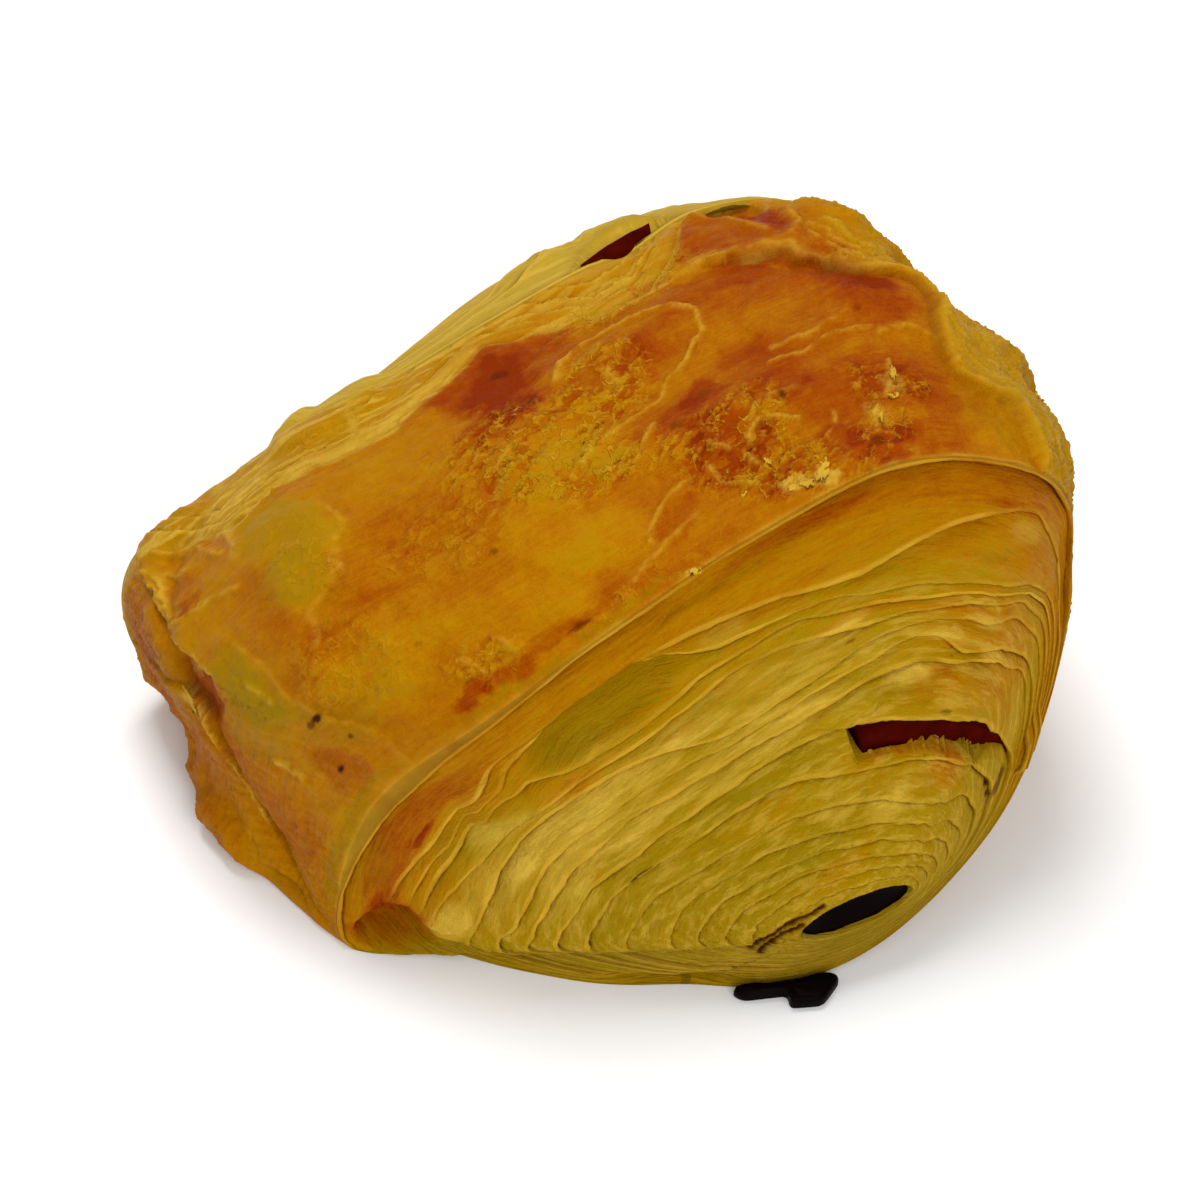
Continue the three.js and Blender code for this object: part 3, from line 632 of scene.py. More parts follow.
# %% Folds and film edges of the crust
CRUST_ROWS = 190
FOLDS = [
    ([(0.474, 0.34), (0.48, 0.42), (0.49, 0.46), (0.502, 0.47), (0.516, 0.44), (0.529, 0.37),
      (0.535, 0.28), (0.533, 0.18), (0.521, 0.06), (0.507, -0.02)], 0.55, 0.4),
    ([(0.507, -0.02), (0.497, -0.08), (0.482, -0.12), (0.466, -0.16), (0.459, -0.21)], 0.42, 0.45),
    ([(0.464, -0.3), (0.474, -0.36), (0.484, -0.3), (0.49, -0.23)], 0.35, 0.45),
    ([(0.484, 0.3), (0.492, 0.22), (0.49, 0.1)], 0.25, 0.5),
    ([(0.606, 0.55), (0.612, 0.42), (0.62, 0.32), (0.632, 0.27)], 0.35, 0.45),
    ([(0.612, 0.6), (0.618, 0.47), (0.627, 0.38), (0.64, 0.33)], 0.35, 0.45),
    ([(0.62, 0.62), (0.626, 0.5), (0.636, 0.42)], 0.3, 0.4),
    ([(0.546, -0.2), (0.562, -0.22), (0.58, -0.18), (0.596, -0.2)], 0.3, 0.45),
    ([(0.552, -0.12), (0.57, -0.14), (0.59, -0.1)], 0.25, 0.45),
    ([(0.5, 0.62), (0.52, 0.58), (0.54, 0.57), (0.56, 0.56)], 0.4, 0.5),
    ([(0.57, 0.95), (0.58, 0.85), (0.586, 0.72), (0.59, 0.62)], 0.6, 0.8),
    ([(0.606, 0.95), (0.61, 0.8), (0.606, 0.62), (0.598, 0.52)], 0.6, 0.8),
    ([(0.6, -0.24), (0.614, -0.21), (0.626, -0.27)], 0.3, 0.6),
    ([(0.456, -0.76), (0.464, -0.69), (0.474, -0.62), (0.484, -0.59)], 0.35, 0.45),
    ([(0.503, -0.49), (0.51, -0.57), (0.515, -0.66)], 0.4, 0.38),
    ([(0.518, -0.56), (0.527, -0.5), (0.534, -0.52), (0.541, -0.57)], 0.42, 0.36),
    ([(0.523, -0.47), (0.531, -0.42), (0.547, -0.4)], 0.35, 0.36),
    ([(0.498, -0.6), (0.5, -0.7), (0.51, -0.77)], 0.35, 0.38),
    ([(0.547, -0.72), (0.553, -0.66), (0.556, -0.62)], 0.35, 0.36),
    ([(0.568, -0.8), (0.571, -0.7), (0.577, -0.63)], 0.42, 0.4),
    ([(0.582, -0.62), (0.59, -0.52), (0.592, -0.42)], 0.42, 0.4),
    ([(0.44, -0.86), (0.46, -0.8), (0.48, -0.76)], 0.25, 0.5),
    ([(0.28, 0.33), (0.29, 0.28), (0.305, 0.22), (0.322, 0.18)], 0.45, 0.5),
    ([(0.292, 0.64), (0.287, 0.52), (0.283, 0.38)], 0.45, 0.5),
    ([(0.3, 0.96), (0.312, 0.85), (0.325, 0.72), (0.333, 0.56), (0.334, 0.38)], 0.55, 0.7),
    ([(0.29, 0.9), (0.302, 0.77), (0.315, 0.63), (0.326, 0.45)], 0.45, 0.6),
    ([(0.282, 0.8), (0.294, 0.67), (0.307, 0.5)], 0.4, 0.6),
    ([(0.315, 0.98), (0.325, 0.86), (0.333, 0.74)], 0.4, 0.5),
    ([(0.335, 0.5), (0.346, 0.54), (0.36, 0.6)], 0.35, 0.4),
    ([(0.264, -0.54), (0.267, -0.62), (0.266, -0.7)], 0.4, 0.4),
    ([(0.293, -0.28), (0.294, -0.4)], 0.25, 0.4),
    ([(0.384, -0.72), (0.387, -0.84)], 0.25, 0.35),
    ([(0.37, -0.74), (0.371, -0.86)], 0.2, 0.35)]
FILM_EDGES = [
    ([(0.281, -0.06), (0.28, 0.02), (0.277, 0.14), (0.273, 0.26), (0.276, 0.38), (0.283, 0.56),
      (0.286, 0.72)], 0.9),
    ([(0.252, 0.12), (0.256, 0.02), (0.256, -0.1), (0.246, -0.2), (0.228, -0.24), (0.213, -0.32),
      (0.204, -0.42)], 1.1),
    ([(0.374, 0.38), (0.377, 0.16), (0.366, 0.03), (0.362, -0.08), (0.352, -0.16), (0.341, -0.2),
      (0.333, -0.34)], 0.16),
    ([(0.306, -0.1), (0.309, -0.28), (0.303, -0.46), (0.312, -0.66), (0.32, -0.8), (0.316, -0.93)], 0.16),
    ([(0.446, 0.2), (0.44, 0.04), (0.43, -0.12), (0.42, -0.24)], 0.14)]
PALE_STRIPS = [
    ([(0.34, 0.96), (0.351, 0.83), (0.361, 0.73), (0.377, 0.665), (0.395, 0.63), (0.412, 0.645),
      (0.428, 0.71), (0.444, 0.78), (0.458, 0.86)], 0.9, 0.85),
    ([(0.334, 0.58), (0.333, 0.45), (0.329, 0.34)], 0.7, 0.5),
    ([(0.397, 0.62), (0.404, 0.8), (0.41, 0.97)], 0.5, 0.6),
    ([(0.292, 0.64), (0.287, 0.52), (0.283, 0.38)], 0.5, 0.5),
    ([(0.57, 0.5), (0.59, 0.46), (0.603, 0.4), (0.604, 0.28), (0.612, 0.19), (0.632, 0.18)], 0.35, 0.6),
    ([(0.52, 0.62), (0.545, 0.6), (0.56, 0.6)], 0.4, 0.45)]
RIDGE = [
    (0.652, -0.92), (0.646, -0.675), (0.627, -0.612), (0.618, -0.53), (0.622, -0.375), (0.631, -0.15),
    (0.636, 0.0), (0.634, 0.11), (0.625, 0.155), (0.611, 0.18), (0.604, 0.27), (0.6, 0.38), (0.586, 0.46),
    (0.566, 0.52)]
RIDGE_HEIGHT = 1.5


def crust_chain(turn, side, points):
    """Distance in mm to a chain of (turn, side) points on the crust, and its right or left hand."""
    chain = [(at_turn * ARC_PER_TURN, at_side * ARC_PER_SIDE) for at_turn, at_side in points]
    return distance_to_chain(turn * ARC_PER_TURN, side * ARC_PER_SIDE, chain)


print("folds:", len(FOLDS), "film edges:", len(FILM_EDGES))

# %% [markdown]
# Patches of the crust are ovals (turn, side, half sizes in mm, amount) whose outlines are broken
# up by a rough field. Swells are broad hollows and humps in mm; flaky patches lost their top film;
# the others are its bake.

# %% Patches of the crust
SWELLS = [
    (0.505, 0.2, 6.0, 6.0, 0.6), (0.452, 0.48, 4.5, 6.0, -0.7), (0.575, 0.05, 7.0, 6.0, 0.8),
    (0.355, 0.15, 7.0, 9.0, 0.4), (0.37, -0.62, 8.0, 5.0, 0.6), (0.3, -0.3, 8.0, 8.0, 0.5),
    (0.598, 0.34, 2.5, 3.0, -0.9), (0.515, -0.6, 5.0, 5.0, -0.4), (0.64, -0.45, 5.0, 7.0, 0.5),
    (0.435, -0.35, 6.0, 8.0, 0.5), (0.266, 0.05, 3.0, 6.0, -1.0), (0.385, -0.15, 5.0, 5.0, -0.4),
    (0.545, -0.8, 5.0, 3.0, 0.4), (0.671, 0.33, 5.0, 5.5, -3.0), (0.658, 0.04, 4.5, 4.5, -1.5),
    (0.698, -0.42, 5.0, 7.0, -1.2), (0.726, -0.88, 6.0, 5.0, -1.2), (0.636, 0.78, 4.5, 3.5, 1.0),
    (0.593, 0.93, 4.0, 2.5, -1.3), (0.395, 0.93, 7.0, 3.0, 1.2), (0.305, 0.9, 6.0, 3.0, 0.8),
    (0.172, 0.56, 7.0, 6.0, -2.2), (0.206, 0.92, 5.0, 3.0, -0.6), (0.158, -0.14, 6.0, 6.5, 1.7),
    (0.68, 0.1, 4.0, 4.0, -0.9), (0.69, 0.6, 4.0, 4.0, -0.8), (0.19, 0.3, 4.0, 3.0, -0.7),
    (0.152, -0.6, 5.0, 4.5, -2.2)]
FLAKY = [
    (0.455, -0.05, 6, 9, 1.0), (0.49, 0.18, 4.5, 6, 0.8), (0.43, 0.05, 4, 6, 0.6),
    (0.51, -0.55, 6, 6, 0.9), (0.525, -0.78, 5, 3, 0.9), (0.585, -0.55, 4, 4, 0.8),
    (0.572, -0.78, 4, 3, 0.7), (0.375, -0.8, 4, 2.5, 0.6), (0.4, -0.2, 6, 5, 0.4),
    (0.52, 0.66, 9, 3, 0.7), (0.35, 0.1, 4, 7, 0.35), (0.33, -0.5, 6, 6, 0.35), (0.475, -0.36, 4, 3, 0.6),
    (0.53, -0.4, 4, 3, 0.6), (0.445, 0.3, 3, 3, 0.4), (0.55, -0.93, 8, 1.5, 0.5),
    (0.45, -0.93, 10, 1.2, 0.4), (0.39, 0.75, 8, 3, 0.3)]
CRUST_TOAST = [
    (0.452, 0.6, 4.5, 4.5, 0.3), (0.455, 0.42, 4.0, 5, 0.26), (0.447, 0.24, 4.5, 4, 0.22),
    (0.463, 0.74, 2.5, 2.5, 0.22), (0.457, 0.62, 1.6, 2.2, 0.12), (0.458, 0.45, 2.0, 1.6, 0.12),
    (0.461, 0.31, 1.4, 1.2, 0.22), (0.475, 0.55, 4, 3, 0.14), (0.58, 0.24, 10, 6, 0.2),
    (0.555, 0.42, 6, 3, 0.16), (0.614, 0.08, 2.4, 2.5, 0.24), (0.575, -0.12, 10, 4, 0.1),
    (0.545, -0.15, 4, 5, 0.12), (0.503, -0.31, 4, 3, 0.16), (0.515, -0.2, 2.4, 1.8, 0.24),
    (0.51, -0.56, 5, 4, 0.22), (0.498, -0.62, 2, 2, 0.16), (0.52, -0.82, 3, 1.8, 0.22),
    (0.57, -0.52, 8, 5, 0.18), (0.566, -0.86, 4, 2.4, 0.28), (0.552, -0.76, 2.4, 2, 0.22),
    (0.602, -0.62, 3, 4, 0.2), (0.592, -0.86, 5, 2.6, 0.16), (0.542, -0.36, 4, 3, 0.18),
    (0.482, 0.66, 3.4, 2, 0.16), (0.528, 0.66, 2.2, 1.2, 0.4), (0.596, 0.78, 2.4, 4, 0.24),
    (0.475, -0.72, 3.4, 1.6, 0.16), (0.376, -0.2, 5, 4, 0.12), (0.402, -0.05, 6, 5, 0.08),
    (0.324, 0.02, 3, 5, 0.12), (0.326, -0.26, 3, 3.4, 0.12), (0.355, -0.3, 5, 2.2, 0.1),
    (0.287, -0.8, 2.6, 3.4, 0.2), (0.36, -0.87, 3, 1.1, 0.26), (0.378, -0.89, 3, 1.1, 0.2),
    (0.402, -0.87, 4, 1.1, 0.14), (0.428, -0.86, 5, 1.0, 0.12), (0.275, 0.28, 1.6, 1.4, 0.28),
    (0.297, 0.3, 2.2, 1.2, 0.24), (0.262, 0.02, 2.6, 6, 0.3), (0.24, -0.36, 5, 5, 0.1),
    (0.225, -0.66, 7, 5, 0.12), (0.2, 0.2, 12, 18, 0.14), (0.3, 0.52, 3, 5, 0.12),
    (0.32, 0.88, 3, 3, 0.12), (0.25, 0.7, 5, 8, 0.16), (0.595, -0.4, 4, 3, 0.08),
    (0.35, 0.32, 4.6, 5, -0.2), (0.345, 0.0, 3.6, 4, -0.2), (0.366, 0.16, 2.4, 2.6, -0.18),
    (0.35, 0.5, 3, 2, -0.14), (0.345, -0.55, 8, 2.8, -0.14), (0.375, -0.62, 5, 2.4, -0.1),
    (0.335, -0.7, 5, 2, -0.12), (0.43, -0.45, 4, 7, -0.14), (0.446, -0.62, 4, 4, -0.14),
    (0.415, -0.66, 4, 3, -0.08), (0.405, -0.78, 5, 2, -0.08), (0.47, -0.33, 3, 2, -0.12),
    (0.456, -0.15, 3, 5, -0.12), (0.505, 0.38, 4, 2, -0.1), (0.492, 0.18, 3, 3.6, -0.08),
    (0.527, 0.22, 2, 2.6, -0.08), (0.292, -0.28, 3.4, 6, -0.12), (0.57, 0.04, 5, 3, -0.08),
    (0.385, 0.4, 5, 5, -0.06), (0.405, 0.35, 5, 6, -0.04), (0.52, 0.3, 7, 5, 0.08),
    (0.505, -0.28, 7, 5, 0.1), (0.585, 0.72, 9, 6, 0.24), (0.61, 0.45, 3, 3, 0.16),
    (0.56, 0.25, 7, 5, -0.1), (0.4, -0.3, 11, 10, 0.06), (0.452, 0.5, 5, 8, 0.02),
    (0.515, 0.3, 6, 5, 0.05), (0.61, 0.1, 6, 9, 0.08), (0.59, 0.85, 8, 4, -0.06),
    (0.511, -0.5, 4, 3, 0.1), (0.504, 0.175, 3, 3, 0.1), (0.606, 0.02, 4, 6, 0.12),
    (0.291, -0.08, 2.5, 4, 0.09), (0.29, 0.48, 2.5, 3, 0.06), (0.381, -0.2, 5, 4, -0.1),
    (0.362, -0.35, 3, 2, -0.05), (0.191, -0.3, 6, 5, -0.06), (0.448, -0.22, 5, 5, -0.1),
    (0.641, -0.86, 6, 3, -0.08), (0.359, 0.21, 4, 4, -0.06), (0.49, 0.1, 3, 4, 0.06),
    (0.45, 0.36, 4, 5, 0.06), (0.33, -0.85, 8, 3, 0.06), (0.31, -0.4, 6, 9, 0.05),
    (0.23, 0.0, 9, 20, 0.06)]
CRUST_PALE = [
    (0.525, -0.885, 1.4, 1.1, 0.9), (0.536, -0.89, 1.0, 1.6, 0.9), (0.59, -0.53, 0.9, 2, 0.4),
    (0.574, -0.72, 0.7, 2, 0.3), (0.266, -0.62, 0.6, 1.6, 0.4), (0.25, 0.06, 1.2, 2.4, 0.6),
    (0.464, -1.0, 1.2, 0.8, 0.6), (0.645, -0.3, 5, 8, 0.1), (0.66, 0.1, 6, 9, 0.15),
    (0.68, -0.6, 8, 8, 0.12), (0.515, 0.8, 4, 1.2, 0.4), (0.35, 0.82, 4, 2.5, 0.35),
    (0.361, -0.04, 0.4, 1.4, 0.3)]
CRUST_OLIVE = [
    (0.292, -0.25, 3.4, 6, 0.8), (0.298, -0.5, 3, 2, 0.5), (0.35, 0.3, 5, 6, 0.35),
    (0.345, 0.0, 4, 4, 0.35), (0.31, -0.66, 4, 3, 0.4), (0.25, -0.94, 14, 1.2, 0.6),
    (0.4, -0.965, 14, 0.8, 0.5), (0.27, -0.4, 4, 5, 0.4), (0.64, -0.7, 8, 5, 0.3), (0.24, 0.3, 5, 8, 0.3)]
CRUST_STAIN = [
    (0.3045, -0.6, 0.8, 0.5, 1.0), (0.299, -0.605, 0.6, 0.5, 0.7), (0.2875, -0.8, 0.6, 0.3, 1.0),
    (0.5655, -0.86, 0.9, 0.6, 0.55), (0.5405, -0.425, 0.5, 0.5, 0.7), (0.4975, -0.31, 0.7, 0.6, 0.4),
    (0.461, 0.6, 0.9, 0.8, 0.5), (0.461, 0.3, 0.6, 0.7, 0.35), (0.411, -0.905, 1.3, 0.25, 0.6),
    (0.4085, -0.385, 0.4, 0.4, 0.55), (0.515, -0.22, 0.9, 0.8, 0.3), (0.595, -0.08, 0.4, 0.4, 0.4),
    (0.308, -0.75, 0.35, 0.3, 0.7), (0.35, -0.61, 0.3, 0.3, 0.3), (0.361, -0.59, 0.5, 0.3, 0.3),
    (0.553, -0.97, 0.5, 0.3, 0.4)]
CRUST_PATCH_RAGGED = (0.0058, 0.058)
CRUST_PATCH_FIELD = {"cells_round": 60, "cells_across": 13, "octaves": 5, "fade": 0.68}


def crust_patches(turn, side, table, seed, ragged=1.0):
    """Sum of ragged ovals of the crust."""
    across = (side + 1) / 2
    moved_turn, moved_side = (
        place + size * ragged * rough_field(turn, across, seed=seed + shift, **CRUST_PATCH_FIELD)
        for place, size, shift in zip((turn, side), CRUST_PATCH_RAGGED, (0, SECOND_SEED)))
    total = np.zeros(turn.shape)
    for at_turn, at_side, half_round, half_along, amount in table:
        distance = np.hypot((moved_turn - at_turn) / (half_round / ARC_PER_TURN),
                            (moved_side - at_side) / (half_along / ARC_PER_SIDE))
        total = total + amount * (1 - smooth(distance, 0.62, 1.22))
    return total


print("patches of bake:", len(CRUST_TOAST + CRUST_PALE + CRUST_OLIVE + CRUST_STAIN))

# %% [markdown]
# The broad form of the crust is a few waves, a crease that runs slantwise over the left end where
# the dough folded, and the swells. Over the right shoulder one long ridge stands up, with the skin
# behind it drawn into fine wrinkles.

# %% Broad form, folds and ridge
CREASE_TURN, CREASE_SLANT, CREASE_WIDTH, CREASE_DEPTH = 0.243, 0.09, 0.012, 1.4
SHAKE_TURN, SHAKE_SIDE, SHAKE_CELLS = 0.0016, 0.018, (120, 30)
WAVE_HEIGHT, TOP_WAVE_HEIGHT = 0.6, 0.9
FOLD_LINE_WIDTH, FILM_LINE_WIDTH = 0.30, 0.35


def wave(turn, cycles, phase):
    return np.sin(2 * math.pi * (cycles * turn + phase))


def broad_form(turn, side):
    """Waves, crease and swells, in mm."""
    form = WAVE_HEIGHT * (wave(turn, 5, 0.2 * side) + 0.6 * wave(turn, 11, 0.5 - 0.3 * side))
    form += TOP_WAVE_HEIGHT * smooth(turn, 0.4, 0.5) * wave(turn, 4, 0.17) * wave(side, 1.4, -0.24)
    form -= CREASE_DEPTH * np.exp(-(((turn - CREASE_TURN - CREASE_SLANT * side) / CREASE_WIDTH)**2))
    return form * (1 - side**4) + crust_patches(turn, side, SWELLS, 401, 0.4)


def shaken(turn, side):
    """Moves every place a little, at random, so that drawn lines come out uneven."""
    across = (side + 1) / 2
    return (turn + SHAKE_TURN * rough_field(turn, across, *SHAKE_CELLS, 411),
            side + SHAKE_SIDE * rough_field(turn, across, *SHAKE_CELLS, 421))


def folds_and_films(turn, side):
    """Height of folds and films in mm, their pale lines (painted highlight on the crests), the painted
    shade beneath, and mm past the ridge.
    """
    place = shaken(turn, side)
    fold, drop, edge, shade = (np.zeros(turn.shape) for _ in range(4))
    for points, height, width in FOLDS:
        distance, _ = crust_chain(*place, points)
        line = min(1, height + 0.4) if height < 0.6 else 0.5
        fold = np.maximum(fold, height * np.exp(-(distance / width)**2))
        # painted highlight: a pale line along each fold's crest
        edge = np.maximum(edge, 0.95 * line * np.exp(-(distance / FOLD_LINE_WIDTH)**2))
    for points, height in FILM_EDGES:
        distance, hand = crust_chain(*place, points)
        past = distance * hand
        step = smooth(past, -0.45, 0.35)
        drop = drop + height * (step * np.exp(-distance / 7) - 0.5 * (1 - step) * np.exp(-distance / 1.6))
        # painted highlight: a pale line along the raised side of each film edge; painted shade: a dark band
        # beneath it
        line = np.exp(-((past - FILM_LINE_WIDTH) / FILM_LINE_WIDTH)**2)
        edge = np.maximum(edge, line * min(1, height + 0.2))
        beneath = np.where(past < 0.1, np.exp(-np.abs(past) / 0.6), 0)
        shade = np.maximum(shade, beneath * min(1, height + 0.1))
    away, hand = crust_chain(*place, RIDGE)
    past = away * hand
    slope = smooth(past, -0.4, 0.9) * np.exp(-away / 5) - 0.25 * np.exp(-away / 1.6) * (past < 0)
    drop = drop + RIDGE_HEIGHT * slope
    # painted shade: a dark line in front of the ridge; painted highlight: a pale line along its crest
    dark_line = 0.75 * np.exp(-((past + 0.30) / 0.50)**2) * smooth(side, -0.7, -0.2)
    edge = np.maximum(edge, 0.5 * np.exp(-((past - 0.9) / 0.45)**2))
    return fold + drop, edge, np.maximum(shade, dark_line), past


print("ridge:", len(RIDGE), "points,", RIDGE_HEIGHT, "mm high")

# %% [markdown]
# Along the back the top film ends in a ragged line, and beyond it a band of pale torn sheets lies
# like the edges of a book. Each sheet is a shallow step whose edge wanders by itself.

# %% The band of torn sheets along the back
FILM_END = (
    (0.0, 0.95), (0.2, 0.95), (0.27, 0.9), (0.3, 0.8), (0.32, 0.66), (0.335, 0.5), (0.346, 0.54),
    (0.36, 0.6), (0.38, 0.605), (0.396, 0.58), (0.412, 0.58), (0.424, 0.62), (0.438, 0.69), (0.45, 0.75),
    (0.463, 0.83), (0.471, 0.79), (0.483, 0.75), (0.497, 0.68), (0.51, 0.61), (0.53, 0.58), (0.545, 0.68),
    (0.556, 0.84), (0.565, 0.97), (1.0, 0.97))
FAR_SHEETS = (0.0, 1.1, 2.7, 3.6, 5.6, 6.4, 8.1, 9.0, 11.2, 12.4, 14.6)
FAR_BAND_TURNS = ((0.20, 0.27), (0.585, 0.605))
SHEET_WAVES = ((16, 0.95, 0), (50, 0.35, 10), (120, 0.12, 20))
SHEET_DROP, SHEET_RISE, SHEET_LINE = 0.55, 0.12, 0.3


def far_sheets(turn, beyond):
    """Height in mm, pale line and shade of the torn sheets, at so many mm beyond the film's end."""
    height, edge, shade = (np.zeros(turn.shape) for _ in range(3))
    for number, (start, stop) in enumerate(zip(FAR_SHEETS, FAR_SHEETS[1:])):
        shift = wobbles(turn, SHEET_WAVES, 440 + number) if number else 0
        into = beyond - start - shift
        share = np.clip(into / (stop - start), 0, 1)
        here = (into >= 0) & (into < stop - start)
        free = smooth(field(turn, 0, 26, 1, 470 + number), -0.3, 0.5)
        form = (0.1 + 0.9 * free) * (SHEET_RISE * share - SHEET_DROP * (1 - share)**1.3)
        height = np.where(here, form, height)
        line = np.where(into < 0, np.exp(-(into / SHEET_LINE)**2), 0)
        edge = np.maximum(edge, line * (0.25 + 0.75 * free))
        shade = np.maximum(shade, np.where(into >= 0, np.exp(-into / SHEET_LINE), 0) * free)
    return height, edge, shade


print("torn sheets:", len(FAR_SHEETS) - 1)

# %% [markdown]
# The last function adds the finest skin: flaky films that run aslant, wrinkles behind the ridge and
# grain. Then it sums up all heights and says how each place was baked, and where painted highlight
# and painted shade go.

# %% Relief and bake of the crust
BROAD_FILM, LEFT_FILM, FILM_RIM, SECOND_FILM = 0.22, 0.32, 0.30, 0.16
SKIN_WAVE, FINE_SKIN, WRINKLES = 0.20, 0.07, 0.26
TOAST_BASE, TOAST_ON_TOP, TOAST_TURNS = 0.44, 0.08, ((0.40, 0.47), (0.60, 0.66))


def crust_surface(turn, side):
    """The height of the crust, its bake, and its painted highlight and shade, at every turn and side."""
    across = (side + 1) / 2
    form = broad_form(turn, side)
    folds, edge, shade, past_ridge = folds_and_films(turn, side)
    wander = 0.022 * rough_field(turn, across, 70, 8, 431) + 0.004 * field(turn, 0, 150, 1, 436)
    beyond = (side - np.interp(turn, *zip(*FILM_END)) + wander) * ARC_PER_SIDE
    far_band = window(turn, *FAR_BAND_TURNS)
    sheets, sheet_edge, sheet_shade = far_sheets(turn, beyond)

    flaky = np.clip(crust_patches(turn, side, FLAKY, 471), 0, 1)
    broad = terraces(rough_field(turn, across, 22, 6, 481, 5, 0.62), 2.6)
    aslant = (across - 2.0 * (turn - 0.45) + 1) / 3
    crumbly = rough_field(turn, aslant, 62, 84, 491, 4, 0.70) + 0.5 * (flaky - 0.6)
    left_film, film_rim = smooth(crumbly, -0.03, 0.06), np.exp(-((crumbly - 0.05) / 0.07)**2)
    second_film = smooth(rough_field(turn, aslant, 105, 140, 495, 3, 0.7), 0.05, 0.15)
    films = LEFT_FILM * left_film + FILM_RIM * film_rim + SECOND_FILM * second_film
    behind_ridge = smooth(past_ridge, -0.4, 1.6) * smooth(turn, 0.598, 0.612)
    right_end = 1 - smooth(turn, 0.84, 0.9)
    wrinkled = np.maximum(behind_ridge, smooth(turn, 0.650, 0.665)) * right_end
    wrinkled = wrinkled + 0.35 * smooth(-turn, -0.34, -0.28)
    skin = crests(rough_field(turn + 0.05 * side, across, 150, 10, 501, 4, 0.6))
    fine_skin = crests(rough_field(turn, across, 46, 60, 511, 3, 0.5))
    wrinkles = SKIN_WAVE * rough_field(turn, across, 80, 18, 521) + FINE_SKIN * fine_skin
    wrinkles = wrinkles + WRINKLES * wrinkled * skin
    gentle = 1 - 0.6 * far_band * (beyond > 0)
    height = form + (folds + BROAD_FILM * broad + flaky * films + wrinkles) * gentle + sheets * far_band

    far_share = far_band * smooth(beyond, -0.2, 0.3)
    near_foot = smooth(-side, 0.55, 0.95) * (1 - window(turn, (0.10, 0.16), (0.80, 0.88)))
    toast = TOAST_BASE + TOAST_ON_TOP * window(turn, *TOAST_TURNS)
    toast = toast + crust_patches(turn, side, CRUST_TOAST, 531)
    toast = toast - flaky * (0.16 * left_film + 0.10 * film_rim - 0.04)
    toast = (toast * (1 - 0.45 * far_share) + 0.05) * (1 - 0.55 * near_foot)
    toast = toast - wrinkled * (0.17 + 0.10 * np.clip(skin, 0, 1))
    toast = toast + 0.05 * rough_field(turn, across, 44, 11, 541, 5, 0.7)
    toast = toast - 0.10 * np.clip(height - form, -1, 1.2)
    broken = np.clip(0.70 + 1.1 * rough_field(turn, across, 170, 44, 601, 3, 0.7), 0.08, 1)
    rim = np.exp(-((np.abs(side) - 1) / 0.02)**2) * (0.55 + 0.45 * field(turn, 0, 140, 1, 581))
    threads = 0.40 * wrinkled * smooth(skin, 0.45, 0.95) * smooth(turn, 0.55, 0.60)
    edge = np.maximum.reduce([edge * broken, sheet_edge * far_band, rim, 0.35 * film_rim * flaky, threads])
    streaks = smooth(rough_field(turn + 0.01 * side, across, 26, 70, 558, 4, 0.7), -0.12, 0.22)
    pale = crust_patches(turn, side, CRUST_PALE, 551)
    pale = pale + (0.75 - 0.55 * smooth(turn, 0.46, 0.53)) * far_share * streaks
    torn, place = 0.7 + 0.3 * field(turn, across, 110, 30, 556), shaken(turn, side)
    for points, width, amount in PALE_STRIPS:
        distance, _ = crust_chain(*place, points)
        pale = np.maximum(pale, amount * torn * np.exp(-(distance / width)**2))
    # painted shade: the colour darkens beneath film edges, in front of the ridge and under the torn sheets
    return height, {"toast": toast, "pale": pale, "flaky": flaky,
                    "olive": crust_patches(turn, side, CRUST_OLIVE, 561) + 0.05 * wrinkled,
                    "stain": crust_patches(turn, side, CRUST_STAIN, 571, 0.25),
                    "edge": edge, "groove": 0.7 * np.maximum(shade, 0.8 * sheet_shade * far_band)}

# %% [markdown]
# The relief is laid on the smooth crust along its normal, which is found from how the points
# change along and round the roll. It fades out where the roll rests on the table.

# %% The rows of the crust
RELIEF_FROM_Z, RELIEF_FULL_Z = -0.3, 2.8
RIM_FADE = 0.6


def crust_rows():
    rows, sides = Rows(), np.linspace(-1, 1, CRUST_ROWS + 2)
    turn_grid, side_grid = np.meshgrid(TURN, sides)
    smooth_crust = crust_point(turn_grid, side_grid)
    along = np.gradient(smooth_crust, axis=0)
    round_way = np.roll(smooth_crust, -1, 1) - np.roll(smooth_crust, 1, 1)
    normal = np.cross(round_way, along)
    normal /= np.maximum(np.linalg.norm(normal, axis=2, keepdims=True), 1e-9)
    height, bake = crust_surface(turn_grid, side_grid)
    clear_of_base = smooth(smooth_crust[..., 2], RELIEF_FROM_Z, RELIEF_FULL_Z)
    rim = 1 - RIM_FADE * smooth(np.abs(side_grid), 0.96, 1.0)
    notch = far_notch(turn_grid) * smooth(side_grid, 0.88, 0.985)
    points = smooth_crust + normal * (height * clear_of_base * rim - notch)[..., None]
    points[..., 2] = np.maximum(points[..., 2], 0)
    for row in range(1, CRUST_ROWS + 1):
        marks = {name: values[row] for name, values in bake.items()}
        rows.add(points[row], crust=1.0, along=TURN * ARC_PER_TURN,
                 across=sides[row] * ARC_PER_SIDE, **marks)
    return rows, {"points": points, "normal": normal, "sides": sides}


print("rows of the crust:", CRUST_ROWS)

# %% [markdown]
# Every piece is a mesh made from arrays of points. The rows and columns of a grid close on
# themselves, so one rule for its four-cornered faces serves the roll, the batons and the scrap.

# %% Tools for meshes
def to_row_frame(points):
    """From the stations' millimetres to the shared frame's metres."""
    shift = np.array([FOOTPRINT_MIDDLE[0], FOOTPRINT_MIDDLE[1], 0.0])
    return (np.asarray(points) - shift) * MM


